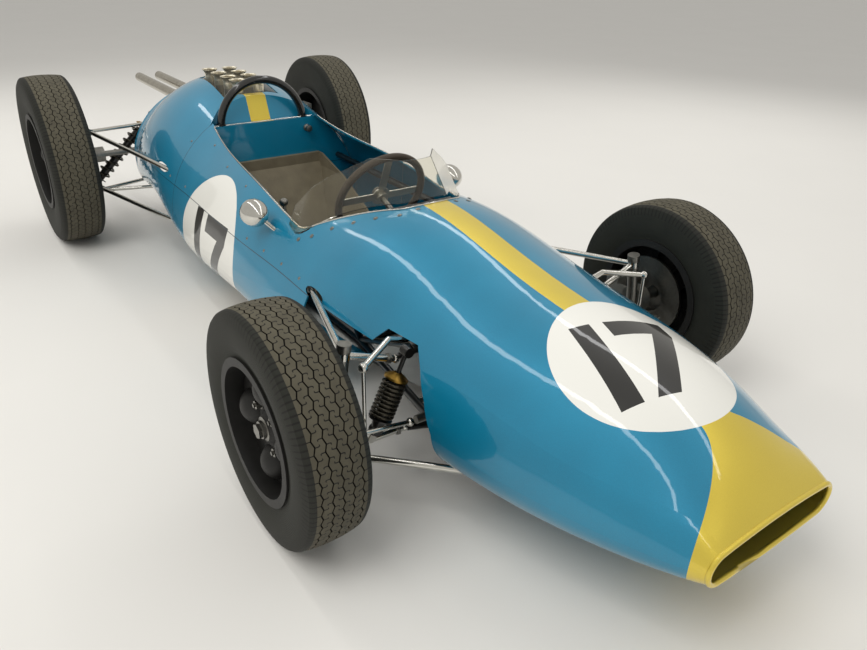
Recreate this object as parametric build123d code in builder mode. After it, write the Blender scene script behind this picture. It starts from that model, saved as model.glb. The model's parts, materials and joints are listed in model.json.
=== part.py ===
"""Rear engined open wheel racing car of the early 1960s, built up from its real pieces.

Millimetres. +X points to the nose, +Y to the driver's left, +Z up. The origin lies on the
floor, on the centre line, halfway between the two axles.
"""
import math
import os

from build123d import *

os.makedirs("parts", exist_ok=True)

# Running gear sizes
wheelbase = 2311.0
front_track = 1322.0
rear_track = 1332.0
front_tyre_radius = 287.0
front_tyre_width = 159.0
front_rim_radius = 176.0
front_rim_width = 150.0
rear_tyre_radius = 362.0
rear_tyre_width = 188.0
rear_rim_radius = 206.0
rear_rim_width = 176.0

# Body sizes
body_wall = 5.0
floor_height = 100.0
floor_sheet = 4.0
nose_lip_radius = 6.0
cockpit_rear = -382.0
cover_front = -380.0
tail_end = -1120.0
panel_front = 735.0

# Reach of the blocks that cut or keep whole regions of the body
past_nose = 2100.0
past_side = 600.0
past_top = 900.0

# Fits
seat_gap = 0.3
running_gap = 0.1
panel_gap = 8.0

front_axle = wheelbase / 2
rear_axle = -wheelbase / 2
front_wheel_y = front_track / 2
rear_wheel_y = rear_track / 2

# Body sections from the nose mouth to the tail. Each has its station along X, the height of its
# crown, its half width, the height of that widest point, the height of its bottom, and the
# radii of its upper and lower flanks.
SECTION_COLUMNS = ("station", "crown", "half_width", "waist", "bottom", "upper_r", "lower_r")
SECTIONS = [
    (1974, 297, 207, 250, 203, 38, 42),
    (1880, 377, 243, 240, 168, 99, 58),
    (1700, 462, 303, 237, 130, 155, 86),
    (1450, 502, 366, 243, 94, 179, 104),
    (1155, 545, 398, 243, 90, 196, 92),
    (817, 598, 415, 242, 80, 224, 92),
    (640, 596, 420, 241, 74, 224, 95),
    (450, 612, 424, 240, 68, 216, 96),
    (0, 646, 430, 240, 64, 211, 97),
    (-370, 676, 422, 260, 68, 211, 98),
    (-500, 706, 415, 295, 72, 207, 108),
    (-880, 718, 388, 334, 98, 202, 108),
    (tail_end, 640, 352, 350, 130, 180, 110),
]


def flank_point(rise, half_width, flank_r):
    """Crown radius, and the point where the crown arc runs into the flank arc."""
    reach = half_width - flank_r
    crown_r = (reach ** 2 + rise ** 2 - flank_r ** 2) / (2 * (rise - flank_r))
    slope = math.atan2(crown_r - rise, reach)
    return crown_r, (crown_r * math.cos(slope), rise - crown_r + crown_r * math.sin(slope))


def body_face(row, inset):
    """One body section, closed, of six tangent arcs, drawn inset from the outer skin."""
    named = dict(zip(SECTION_COLUMNS, row))
    width = named["half_width"] - inset
    waist = named["waist"]
    upper_r = named["upper_r"] - inset
    lower_r = named["lower_r"] - inset
    crown_rise = named["crown"] - inset - waist
    keel_drop = waist - named["bottom"] - inset
    crown_r, upper = flank_point(crown_rise, width, upper_r)
    keel_r, lower = flank_point(keel_drop, width, lower_r)
    upper_mid = math.atan2(upper[1], upper[0] - width + upper_r) / 2
    lower_mid = math.atan2(lower[1], lower[0] - width + lower_r) / 2
    with BuildSketch(Plane.YZ.offset(named["station"])) as face:
        with BuildLine():
            for side in (1, -1):
                ThreePointArc(
                    (side * upper[0], waist + upper[1]),
                    (side * (width - upper_r + upper_r * math.cos(upper_mid)),
                     waist + upper_r * math.sin(upper_mid)),
                    (side * width, waist),
                )
                ThreePointArc(
                    (side * width, waist),
                    (side * (width - lower_r + lower_r * math.cos(lower_mid)),
                     waist - lower_r * math.sin(lower_mid)),
                    (side * lower[0], waist - lower[1]),
                )
            ThreePointArc((-upper[0], waist + upper[1]), (0, waist + crown_rise),
                          (upper[0], waist + upper[1]))
            ThreePointArc((-lower[0], waist - lower[1]), (0, waist - keel_drop),
                          (lower[0], waist - lower[1]))
        make_face()
    return face.sketch


def body_loft(inset):
    """Solid through every body section, drawn inset from the outer skin."""
    with BuildPart() as block:
        loft([body_face(row, inset) for row in SECTIONS])
    return block.part


def side_block(corners, half_width):
    """Straight sided block with the given outline in the side view."""
    with BuildPart() as block:
        with BuildSketch(Plane.XZ):
            with BuildLine():
                Polyline(*corners, close=True)
            make_face()
        extrude(amount=half_width, both=True)
    return block.part


def add_bar(start, end, radius, mode=Mode.ADD):
    """Adds a round bar between two points to the part that is being built, or cuts it away."""
    axis = Vector(*end) - Vector(*start)
    with BuildSketch(Plane(origin=start, z_dir=axis.normalized())) as end_face:
        Circle(radius)
    extrude(end_face.sketch, amount=axis.length, mode=mode)


def toward(start, end, short):
    """The end of a bar from start that stops a little short of the point end."""
    axis = Vector(*end) - Vector(*start)
    return Vector(*end) - axis.normalized() * short


def add_ball(centre, radius):
    """Adds a round rod end to the part that is being built."""
    with Locations(centre):
        Sphere(radius)


def both_sides(points, side):
    """The same points on the left (1) or the right (-1) of the car."""
    return [(x, side * y, z) for x, y, z in points]


def save(piece, name):
    piece.label = name
    export_step(piece, "parts/" + name + ".step")


outer_body = body_loft(0)
inner_body = body_loft(body_wall)
with BuildPart() as skin:
    add(outer_body)
    add(inner_body, mode=Mode.SUBTRACT)
    # The mouth stays open through the end walls of both lofts.

# Seam between the upper mouldings and the lower side panels, in the side view
seam_front = (panel_front, 366.0)
seam_rear = (tail_end, 424.0)


def seam_height(x):
    share = (seam_front[0] - x) / (seam_front[0] - seam_rear[0])
    return seam_front[1] + share * (seam_rear[1] - seam_front[1])


# Cut away beside the front suspension, in the side view
arch_rear = (1058.0, 366.0)
arch_roof = [(1088.0, 403.0), (1199.0, 403.0)]
nose_edge = [(1249.0, 367.0), (1300.0, 320.0), (1345.0, 252.0), (1372.0, 100.0)]

with BuildPart() as upper_zone:
    with BuildSketch(Plane.XZ):
        with BuildLine():
            Polyline(
                (cover_front, seam_height(cover_front)), seam_front, arch_rear,
                *arch_roof, *nose_edge,
                (nose_edge[-1][0], 0), (past_nose, 0), (past_nose, past_top),
                (cover_front, past_top), close=True)
        make_face()
    extrude(amount=past_side, both=True)

# Cockpit opening, in plan
cockpit_side = [(cockpit_rear, 214.0), (60.0, 268.0), (510.0, 292.0)]
screen_corner = [(541.0, 288.0), (560.0, 278.0)]
screen_front = (787.0, 105.0)
screen_peak = (817.0, 0.0)


def cockpit_outline():
    """Plan outline of the cockpit edge, added to the line that is being drawn."""
    for side in (1, -1):
        turned = [(x, side * y) for x, y in cockpit_side + screen_corner + [screen_front]]
        ThreePointArc(turned[0], turned[1], turned[2])
        ThreePointArc(turned[2], turned[3], turned[4])
        Line(turned[4], turned[5])
    ThreePointArc(screen_front, screen_peak, (screen_front[0], -screen_front[1]))
    Line(cockpit_side[0], (cockpit_side[0][0], -cockpit_side[0][1]))


cockpit_depth = 450.0
with BuildPart() as cockpit_hole:
    with BuildSketch(Plane.XY.offset(cockpit_depth)) as cockpit_plan:
        with BuildLine():
            cockpit_outline()
        make_face()
    extrude(cockpit_plan.sketch, amount=past_top - cockpit_depth)

# Engine cover with its sunk deck behind the hoop and its open top over the intakes
deck_wall = 4.0
deck_front = (cover_front, 603.0)
deck_foot = (cover_front - 40, 603.0)
deck_brow = (-455.0, 696.0)
bay_front = (-488.0, 117.0)
bay_rear = (-885.0, 106.0)
pocket_front_y = 228.0
pocket_low = 543.0

with BuildPart() as cover_zone:
    with BuildSketch(Plane.XZ):
        with BuildLine():
            Polyline((cover_front, seam_height(cover_front)), seam_rear, (tail_end, past_top),
                     (cover_front, past_top), close=True)
        make_face()
    extrude(amount=past_side, both=True)


def pocket(widening, lowering):
    """Space above the deck, narrowing in plan from the hoop back to the intakes."""
    with BuildPart() as space:
        with BuildSketch(Plane.XY.offset(pocket_low)) as plan:
            with BuildLine():
                Polyline(
                    (cover_front + 1, pocket_front_y + widening),
                    (cover_front + 1, -pocket_front_y - widening),
                    (bay_front[0], -bay_front[1] - widening),
                    (bay_front[0], bay_front[1] + widening), close=True)
            make_face()
        extrude(plan.sketch, amount=past_top - pocket_low)
        with BuildSketch(Plane.XZ) as side:
            with BuildLine():
                Polyline(
                    (cover_front + 1, deck_front[1] - lowering),
                    (deck_foot[0], deck_foot[1] - lowering),
                    (deck_brow[0], deck_brow[1] - lowering),
                    (bay_front[0], deck_brow[1] + 2 - lowering),
                    (bay_front[0], past_top), (cover_front + 1, past_top), close=True)
            make_face()
        extrude(side.sketch, amount=past_side, both=True, mode=Mode.INTERSECT)
    return space.part


with BuildPart() as deck_block:
    add(pocket(deck_wall, deck_wall))
    add(outer_body, mode=Mode.INTERSECT)
    add(cover_zone.part, mode=Mode.INTERSECT)

bay_floor = 640.0
with BuildPart() as bay_hole:
    with BuildSketch(Plane.XY.offset(bay_floor)) as bay_plan:
        with BuildLine():
            Polyline(bay_front, (bay_front[0], -bay_front[1]), (bay_rear[0], -bay_rear[1]),
                     bay_rear, close=True)
        make_face()
    extrude(bay_plan.sketch, amount=past_top - bay_floor)

# Frame nodes. Rings of tubes stand across the car at the stations below, and longerons and
# diagonals join their corners.
tube_radius = 12.7
frame_low = floor_height + tube_radius + seat_gap
RING_COLUMNS = ("station", "low_y", "low_z", "high_y", "high_z")
RINGS = [
    (1530, 150, 148, 150, 340),
    (front_axle, 230, frame_low, 281, 367),
    (640, 160, frame_low, 270, 440),
    (-400, 175, frame_low, 328, 425),
    (-1080, 165, 190, 215, 470),
    (-1240, 165, 205, 200, 480),
]

# Radius rods of the rear suspension, which pass through the body sides
rod_radius = 9.0
rod_ball = 11.0
upright_inner = 548.0
rear_ball_y = upright_inner - rod_ball - seat_gap
upper_rod = [(rear_axle + 36, rear_ball_y, 480.0), (-400.0, 352.4, 425.0)]
lower_rod = [(rear_axle + 46, rear_ball_y, 225.0), (-400.0, 309.0, 179.0)]

# Transverse links of the rear suspension, each from the upright to a ball beside the frame
beside = tube_radius + rod_ball + seat_gap
link_share = 95.0 / 160.0
upper_link = [(-1175.0, rear_ball_y, 465.0),
              (-1175.0, 215.0 - 15.0 * link_share + beside, 470.0 + 10.0 * link_share)]
lower_link_outer = (-1170.0, rear_ball_y, 192.0)
lower_links = [[lower_link_outer, (ring[0], ring[1] + beside, ring[2])] for ring in RINGS[4:]]

# Joints of the front suspension: the two on the upright, and those on the frame
upper_ball = (front_axle, 500.0, 412.0)
lower_ball = (front_axle, 540.0, 146.0)
upper_cross_end = (front_axle, 357.0, 356.0)
upper_rear_end = (690.0, 352.0, 370.0)
lower_cross_end = (front_axle, 330.0, 141.0)
lower_front_end = (1530.0, 174.8, 148.0)

with BuildPart() as rod_holes:
    for side in (1, -1):
        for start, end in (upper_rod, lower_rod, *lower_links):
            add_bar(*both_sides([start, end], side), rod_radius + panel_gap)

with BuildPart() as arm_holes:
    for side in (1, -1):
        for start, end in ((upper_ball, upper_rear_end), (lower_ball, lower_front_end)):
            add_bar(*both_sides([start, end], side), rod_radius + panel_gap)

with BuildPart() as body_top:
    add(skin.part)
    add(upper_zone.part, mode=Mode.INTERSECT)
    # Rolled edge round the mouth
    lip_path = body_face(SECTIONS[0], body_wall / 2).face().outer_wire()
    with BuildSketch(Plane(origin=lip_path @ 0, z_dir=lip_path % 0)) as lip:
        Circle(nose_lip_radius)
    sweep(lip.sketch, path=lip_path)
    add(cockpit_hole.part, mode=Mode.SUBTRACT)
    add(arm_holes.part, mode=Mode.SUBTRACT)
save(body_top.part, "body_top")

with BuildPart() as engine_cover:
    add(skin.part)
    add(cover_zone.part, mode=Mode.INTERSECT)
    add(deck_block.part)
    add(pocket(0, 0), mode=Mode.SUBTRACT)
    add(bay_hole.part, mode=Mode.SUBTRACT)
    add(rod_holes.part, mode=Mode.SUBTRACT)
save(engine_cover.part, "engine_cover")

# Lower side panels, from the front suspension to the tail, down to the flat floor
with BuildPart() as side_zone:
    with BuildSketch(Plane.XZ):
        with BuildLine():
            Polyline(seam_front, seam_rear, (tail_end, floor_height), (panel_front, floor_height),
                     close=True)
        make_face()
    extrude(amount=past_side, both=True)

# Behind the driver the belly is open below the engine
belly_half_width = 215.0
belly_top = 240.0
floor_rear = -480.0
with BuildPart() as belly_hole:
    with BuildSketch(Plane.XY) as belly_plan:
        with Locations(((tail_end + floor_rear) / 2, 0)):
            Rectangle(floor_rear - tail_end + 2 * seat_gap, 2 * belly_half_width)
    extrude(belly_plan.sketch, amount=belly_top)

with BuildPart() as side_panels:
    add(skin.part)
    add(side_zone.part, mode=Mode.INTERSECT)
    add(belly_hole.part, mode=Mode.SUBTRACT)
    add(rod_holes.part, mode=Mode.SUBTRACT)
    add(arm_holes.part, mode=Mode.SUBTRACT)
save(side_panels.part, "side_panels")

# Flat floor sheet
with BuildPart() as floor_zone:
    with BuildSketch(Plane.XY.offset(floor_height - floor_sheet)) as floor_plan:
        with Locations(((nose_edge[-1][0] + floor_rear) / 2, 0)):
            Rectangle(nose_edge[-1][0] - floor_rear - 2 * seat_gap, 2 * past_side)
    extrude(floor_plan.sketch, amount=floor_sheet)

with BuildPart() as floor_pan:
    add(outer_body)
    add(floor_zone.part, mode=Mode.INTERSECT)
save(floor_pan.part, "floor_pan")

# Steering column, from the wheel down to the rack
steering_centre = (515.0, 0.0, 533.0)
rack_x = 1241.0
rack_z = 223.0
column_radius = 9.5
column_axis = (Vector(*steering_centre) - Vector(rack_x, 0, rack_z)).normalized()


def on_column(x):
    """Point of the column's centre line at the station x."""
    share = (x - steering_centre[0]) / column_axis.X
    return Vector(*steering_centre) + column_axis * share


# Dampers
damper_ball = 14.0
front_damper = [(1182.0, 432.0, 190.0), (1182.0, 340.0, 385.0)]
rear_damper = [(-1215.0, 530.0, 215.0), (-1215.0, 222.0, 506.0)]

# Short tubes that carry suspension joints outboard of the frame: where each starts and the joint's
# centre
OUTRIGGERS = [
    ((front_axle, 281.0, 367.0), upper_cross_end),
    ((front_axle, 230.0, 113.0), lower_cross_end),
    ((690.0, 271.0, 433.0), upper_rear_end),
    ((-400.0, 207.0, 179.0), lower_rod[1]),
]
engine_mount_x = -700.0


def ring_corners(ring, side):
    """Low and high corner of a frame ring on one side."""
    station, low_y, low_z, high_y, high_z = ring
    return (station, side * low_y, low_z), (station, side * high_y, high_z)


def along(front, rear, x):
    """Point at the station x on the line between two points."""
    share = (front[0] - x) / (front[0] - rear[0])
    return tuple(a + share * (b - a) for a, b in zip(front, rear))


def longerons(side):
    """Start and end of each longeron between two rings on one side."""
    corners = [ring_corners(ring, side) for ring in RINGS]
    return [(front[k], rear[k]) for front, rear in zip(corners, corners[1:]) for k in (0, 1)]


def diagonals(side):
    """Start and end of each diagonal on one side, in every bay but the last."""
    corners = [ring_corners(ring, side) for ring in RINGS[:-1]]
    return [(front[1], rear[0]) for front, rear in zip(corners, corners[1:])]


cross_radius = 12.0
post_radius = 11.1
diagonal_radius = 9.5
outrigger_radius = 10.4
dash_x = 640.0
dash_side = 180.0
dash_top = 522.0
dash_overlap = 9.0
bearing_radius = 20.0
bearing_length = 28.0
hanger_radius = 8.0
corner_clear = tube_radius + 3 * seat_gap

frame_corners = [corner for ring in RINGS for side in (1, -1) for corner in ring_corners(ring, side)]
laid_tubes = []


def lay(start, end, radius):
    """Notes a tube that later tubes have to fit round."""
    laid_tubes.append((start, end, radius))


def fit_round_tubes(start, end, radius):
    """Cuts the part that is being built clear of every laid tube and corner near the given bar."""
    line = Edge.make_line(start, end)
    for other_start, other_end, other_radius in laid_tubes:
        reach = radius + other_radius + seat_gap
        if line.distance_to(Edge.make_line(other_start, other_end)) < reach:
            add_bar(other_start, other_end, other_radius + seat_gap, Mode.SUBTRACT)
    for corner in frame_corners:
        if line.distance_to(Vertex(*corner)) < radius + corner_clear:
            with Locations(corner):
                Sphere(corner_clear, mode=Mode.SUBTRACT)


def fitted_tube(start, end, radius):
    """A straight tube whose ends are cut to the shape of the tubes that carry it."""
    with BuildPart() as tube:
        add_bar(start, end, radius)
        fit_round_tubes(start, end, radius)
    lay(start, end, radius)
    return tube.part.solids().sort_by(SortBy.VOLUME)[-1]


def across(corner):
    """Both ends of a tube from the given corner straight across to the other side."""
    x, y, z = corner
    return (x, y, z), (x, -y, z)


frame_tubes = []
for side in (1, -1):
    for start, end in longerons(side):
        lay(start, end, tube_radius)

# Dash hoop over the driver's knees, with the bearing of the steering column hung from it
dash_corners = [(dash_x, side * dash_side, dash_top) for side in (1, -1)]
dash_feet = [ring_corners(RINGS[2], side)[1] for side in (1, -1)]
bearing = on_column(dash_x)
with BuildPart() as dash_hoop:
    for foot, corner in zip(dash_feet, dash_corners):
        add_bar(foot, corner, post_radius)
    add_bar((dash_x, dash_side + dash_overlap, dash_top), (dash_x, -dash_side - dash_overlap, dash_top),
            cross_radius)
    add_bar((dash_x, 0, dash_top), bearing, hanger_radius)
    half_bearing = column_axis * (bearing_length / 2)
    add_bar(bearing - half_bearing, bearing + half_bearing, bearing_radius)
    add_bar(bearing - 2 * half_bearing, bearing + 2 * half_bearing, column_radius + running_gap,
            Mode.SUBTRACT)
    for foot, corner in zip(dash_feet, dash_corners):
        fit_round_tubes(foot, corner, post_radius)
frame_tubes.append(dash_hoop.part)
for foot, corner in zip(dash_feet, dash_corners):
    lay(foot, corner, post_radius)

# Cross tubes: one at each corner of a ring, but none under the dash hoop, one that carries the front
# dampers, and a cradle under the engine
for ring in RINGS:
    for level, corner in enumerate(ring_corners(ring, 1)):
        if ring[0] != dash_x or level == 0:
            frame_tubes.append(fitted_tube(*across(corner), cross_radius))
damper_reach = front_damper[1][1] - damper_ball - seat_gap
damper_bar = across((front_damper[1][0], damper_reach, front_damper[1][2]))
frame_tubes.append(fitted_tube(*damper_bar, cross_radius))
cradle = along(ring_corners(RINGS[3], 1)[0], ring_corners(RINGS[4], 1)[0], engine_mount_x)
frame_tubes.append(fitted_tube(*across(cradle), cross_radius))

# Posts, diagonals, outriggers and the brackets of the rear dampers
for ring in RINGS:
    for side in (1, -1):
        frame_tubes.append(fitted_tube(*ring_corners(ring, side), post_radius))
for side in (1, -1):
    for start, end in diagonals(side):
        frame_tubes.append(fitted_tube(start, end, diagonal_radius))
for side in (1, -1):
    for start, end in OUTRIGGERS:
        start, end = both_sides([start, end], side)
        frame_tubes.append(fitted_tube(start, toward(start, end, rod_ball + seat_gap), outrigger_radius))
    rear_high = ring_corners(RINGS[-1], side)[1]
    rear_top = both_sides(rear_damper, side)[1]
    frame_tubes.append(
        fitted_tube(rear_high, toward(rear_high, rear_top, damper_ball + seat_gap), outrigger_radius))

with BuildPart() as space_frame:
    for side in (1, -1):
        for level in (0, 1):
            with BuildLine() as longeron:
                Polyline(*[ring_corners(ring, side)[level] for ring in RINGS])
            with BuildSketch(Plane(origin=longeron.line @ 0, z_dir=longeron.line % 0)) as longeron_end:
                Circle(tube_radius)
            sweep(longeron_end.sketch, path=longeron.line, transition=Transition.RIGHT)
    for tube in frame_tubes:
        add(tube)
save(space_frame.part, "space_frame")

# Panel behind the driver, fitted round the frame tubes that pass through it
bulkhead_sheet = 3.0
bulkhead_x = cover_front + seat_gap
bulkhead_edge = 3.0
hoop_row = next(row for row in SECTIONS if row[0] == -370)
with BuildPart() as rear_bulkhead:
    extrude(body_face((bulkhead_x, *hoop_row[1:]), body_wall + bulkhead_edge), amount=bulkhead_sheet)
    with BuildSketch(Plane.XY.offset(floor_height + seat_gap)) as bulkhead_height:
        Rectangle(2 * past_side, 2 * past_side)
    extrude(bulkhead_height.sketch, amount=deck_front[1] - floor_height - seat_gap, mode=Mode.INTERSECT)
    for side in (1, -1):
        for start, end in longerons(side):
            if start[0] > bulkhead_x:
                add_bar(start, end, tube_radius + seat_gap, Mode.SUBTRACT)
        for start, end in diagonals(side):
            if start[0] > bulkhead_x:
                add_bar(start, end, diagonal_radius + seat_gap, Mode.SUBTRACT)
save(rear_bulkhead.part, "rear_bulkhead")

# Seat tub: a reclined shell between the floor and the rear bulkhead, wider at the top
seat_low_y = 142.0
seat_high_y = 232.0
seat_high_z = 400.0
seat_wall = 8.0
seat_back = bulkhead_x + bulkhead_sheet + seat_gap
seat_floor = floor_height + seat_gap
seat_top = 455.0
seat_pan = 12.0
seat_rest = 20.0
seat_profile = [(300, seat_floor), (-140, seat_floor), (seat_back, 400), (seat_back, seat_top),
                (seat_back + 2 * seat_rest, seat_top), (-150, 400), (60, 330), (300, 230)]
seat_inside = [(310, 150), (100, seat_floor + seat_pan), (-118, seat_floor + seat_pan),
               (seat_back + seat_rest, 415), (seat_back + seat_rest, past_side), (400, past_side)]


def seat_trough(inset):
    """Sides of the seat as seen from the front, drawn inset by a wall."""
    low = seat_low_y - inset
    high = seat_high_y - inset
    with BuildPart() as block:
        with BuildSketch(Plane.YZ.offset(seat_back)) as face:
            with BuildLine():
                Polyline((-low, seat_floor), (low, seat_floor), (high, seat_high_z), (high, past_side),
                         (-high, past_side), (-high, seat_high_z), close=True)
            make_face()
        extrude(face.sketch, amount=past_side - seat_back)
    return block.part


with BuildPart() as seat_space:
    add(side_block(seat_inside, seat_high_y))
    add(seat_trough(seat_wall), mode=Mode.INTERSECT)

with BuildPart() as seat:
    add(side_block(seat_profile, seat_high_y))
    add(seat_trough(0), mode=Mode.INTERSECT)
    add(seat_space.part, mode=Mode.SUBTRACT)
save(seat.part, "seat")

# Roll hoop: one arched tube with round feet on the deck
hoop_x = -398.0
hoop_tube = 16.0
hoop_half_width = 176.0
hoop_top = 780.0
hoop_foot = 20.0
hoop_flange = 4.0
hoop_foot_z = deck_front[1] + seat_gap
with BuildPart() as roll_hoop:
    with BuildLine() as hoop_line:
        ThreePointArc((hoop_x, -hoop_half_width, hoop_foot_z + hoop_flange - 1),
                      (hoop_x, 0, hoop_top - hoop_tube),
                      (hoop_x, hoop_half_width, hoop_foot_z + hoop_flange - 1))
    with BuildSketch(Plane(origin=hoop_line.line @ 0, z_dir=hoop_line.line % 0)) as hoop_ring:
        Circle(hoop_tube)
    sweep(hoop_ring.sketch, path=hoop_line.line)
    for side in (1, -1):
        add_bar((hoop_x, side * hoop_half_width, hoop_foot_z),
                (hoop_x, side * hoop_half_width, hoop_foot_z + hoop_flange), hoop_foot)
    # Ends cut off level under the feet
    with BuildSketch(Plane.XY.offset(hoop_foot_z)) as below:
        with Locations((hoop_x, 0)):
            Rectangle(4 * hoop_foot, 3 * hoop_half_width)
    extrude(below.sketch, amount=-2 * hoop_foot, mode=Mode.SUBTRACT)
save(roll_hoop.part, "roll_hoop")

# Windscreen: a leaning wrap of clear sheet on the scuttle
screen_sheet = 3.0
screen_lean = 24.0
screen_height = 240.0
screen_base = 470.0
screen_outset = 20.0
screen_zone = [(470, 540), (560, 640), (640, 700), (900, 712), (900, 470), (470, 470)]


def screen_block(outset):
    with BuildPart() as block:
        with BuildSketch(Plane.XY.offset(screen_base)) as plan:
            with BuildLine():
                cockpit_outline()
            make_face()
            offset(amount=outset)
        extrude(plan.sketch, amount=screen_height, taper=screen_lean)
    return block.part


with BuildPart() as windscreen:
    add(side_block(screen_zone, past_side))
    add(screen_block(screen_outset), mode=Mode.INTERSECT)
    add(screen_block(screen_outset - screen_sheet), mode=Mode.SUBTRACT)
    add(outer_body, mode=Mode.SUBTRACT)
save(windscreen.part, "windscreen")

# Radiator core behind the mouth
radiator_thickness = 46.0
radiator_width = 400.0
radiator_height = 260.0
radiator_z = 290.0
radiator_x = RINGS[0][0] + cross_radius + seat_gap + radiator_thickness / 2
with BuildPart() as radiator:
    with Locations((radiator_x, 0, radiator_z)):
        Box(radiator_thickness, radiator_width, radiator_height)
save(radiator.part, "radiator")

# Engine block, a vee with its outline given from the sump up one side into the valley
engine_front = -470.0
engine_rear = -930.0
engine_bottom = cradle[2] + cross_radius + seat_gap
valley = 500.0
engine_side = [(100.0, engine_bottom), (115.0, 330.0), (205.0, 430.0), (150.0, 540.0), (80.0, valley)]
with BuildPart() as engine:
    with BuildSketch(Plane.YZ.offset(engine_rear)) as engine_face:
        with BuildLine():
            Polyline(*engine_side, *[(-y, z) for y, z in reversed(engine_side)], close=True)
        make_face()
    extrude(engine_face.sketch, amount=engine_front - engine_rear)
save(engine.part, "engine")

# Intake trumpets, one over each cylinder
TRUMPET_STATIONS = (-835.0, -727.0, -620.0, -521.0)
trumpet_y = 45.0
trumpet_top = 750.0
trumpet_mouth = 33.0
trumpet_bore = 20.0
trumpet_wall = 2.0
trumpet_foot = 6.0
trumpet_foot_height = 130.0
trumpet_shoulder = 10.0
trumpet_flare = 30.0
with BuildPart() as intake_trumpets:
    for x in TRUMPET_STATIONS:
        for side in (1, -1):
            base = Plane(origin=(x, side * trumpet_y, valley + seat_gap), x_dir=(1, 0, 0), z_dir=(0, -1, 0))
            length = trumpet_top - valley - seat_gap
            outside = trumpet_bore + trumpet_wall
            throat = length - trumpet_flare
            bulge = trumpet_flare * 0.6
            with BuildSketch(base) as wall:
                with BuildLine():
                    Polyline((trumpet_bore, 0), (outside + trumpet_foot, 0),
                             (outside + trumpet_foot, trumpet_foot_height),
                             (outside, trumpet_foot_height + trumpet_shoulder), (outside, throat))
                    ThreePointArc((outside, throat), (outside + trumpet_flare / 10, throat + bulge),
                                  (trumpet_mouth, length - trumpet_wall))
                    Line((trumpet_mouth, length - trumpet_wall), (trumpet_mouth, length))
                    ThreePointArc((trumpet_mouth, length),
                                  (trumpet_bore + trumpet_flare / 10, throat + bulge + 1),
                                  (trumpet_bore, throat))
                    Line((trumpet_bore, throat), (trumpet_bore, 0))
                make_face()
            revolve(wall.sketch, axis=Axis((x, side * trumpet_y, 0), (0, 0, 1)))
save(intake_trumpets.part, "intake_trumpets")

# Gearbox with its final drive between the rear wheels
diff_z = rear_tyre_radius
output_y = 112.0
pipe_y = 54.0
pipe_z = 557.0
pipe_radius = 24.0
pipe_wall = 2.0
bell_size = (210.0, 230.0, 60.0)
bell_z = 335.0
bell_length = 60.0
case_size = (150.0, 180.0, 40.0)
case_z = 330.0
case_length = 480.0
output_radius = 62.0
hanger_x = -1380.0
hanger_sheet = 12.0
hanger_foot = 400.0
with BuildPart() as gearbox:
    with BuildSketch(Plane.YZ.offset(engine_rear - seat_gap)) as bell:
        with Locations((0, bell_z)):
            RectangleRounded(*bell_size)
    extrude(bell.sketch, amount=-bell_length)
    with BuildSketch(Plane.YZ.offset(engine_rear - seat_gap)) as case:
        with Locations((0, case_z)):
            RectangleRounded(*case_size)
    extrude(case.sketch, amount=-case_length)
    add_bar((rear_axle, -output_y, diff_z), (rear_axle, output_y, diff_z), output_radius)
    # Hanger for the tail pipes
    hanger_top = pipe_z - pipe_radius - seat_gap
    with Locations((hanger_x, 0, (hanger_top + hanger_foot) / 2)):
        Box(hanger_sheet, case_size[0], hanger_top - hanger_foot)
save(gearbox.part, "gearbox")

# Exhausts: a collector along each bank of the engine, and tail pipes over the gearbox
nose_front = SECTIONS[0][0] + nose_lip_radius
collector_y = 209.0
collector_z = 501.0
port_y = 178.0
port_z = 485.0
port_radius = 15.0
pipe_bend = 120.0
tail_bore = 700.0
with BuildPart() as exhausts:
    for side in (1, -1):
        with BuildLine() as pipe_line:
            FilletPolyline((TRUMPET_STATIONS[-1] + 30, side * collector_y, collector_z),
                           (engine_rear - 30, side * collector_y, collector_z),
                           (engine_rear - 180, side * pipe_y, pipe_z),
                           (-nose_front, side * pipe_y, pipe_z), radius=pipe_bend)
        with BuildSketch(Plane(origin=pipe_line.line @ 0, z_dir=pipe_line.line % 0)) as ring:
            Circle(pipe_radius)
        sweep(ring.sketch, path=pipe_line.line)
        for x in TRUMPET_STATIONS:
            add_bar((x, side * port_y, port_z), (x, side * collector_y, collector_z), port_radius)
        add_bar((-nose_front - 1, side * pipe_y, pipe_z), (-nose_front + tail_bore, side * pipe_y, pipe_z),
                pipe_radius - pipe_wall, Mode.SUBTRACT)
    # The ports stop at the heads of the engine
    with BuildSketch(Plane.YZ.offset(engine_rear)) as engine_clear:
        with BuildLine():
            head_low, head_high = engine_side[2:4]
            Polyline((0, head_low[1] - 130), (head_low[0] + seat_gap, head_low[1]),
                     (head_high[0] + seat_gap, head_high[1] + seat_gap), (0, head_high[1] + 60), close=True)
        make_face()
        mirror(about=Plane.YZ)
    extrude(engine_clear.sketch, amount=engine_front - engine_rear, mode=Mode.SUBTRACT)
save(exhausts.part, "exhausts")

# Front wheel carriers. The kingpin runs through an upper and a lower eye.
pin_radius = 8.0
eye_radius = 17.0
eye_height = 18.0
shoulder_radius = 16.0
shoulder_gap = 5.0
pin_past = 21.0
cap_height = 20.0
stub_radius = 18.0
stub_past = 34.0
carrier_radius = 42.0
carrier_face = 556.0
arm_radius = 9.0
arm_drop = 16.0
front_hub_z = front_tyre_radius
arm_tip = (1245.0, 530.0, 250.0)
track_ball = 13.0
track_pin = 7.0
rack_end_y = 369.0
rack_clear = 6.0
rod_eye_height = 14.0
track_rod_radius = 6.0


def kingpin(side):
    """Unit vector up the kingpin."""
    return Vector(0, side * (upper_ball[1] - lower_ball[1]), upper_ball[2] - lower_ball[2]).normalized()


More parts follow.
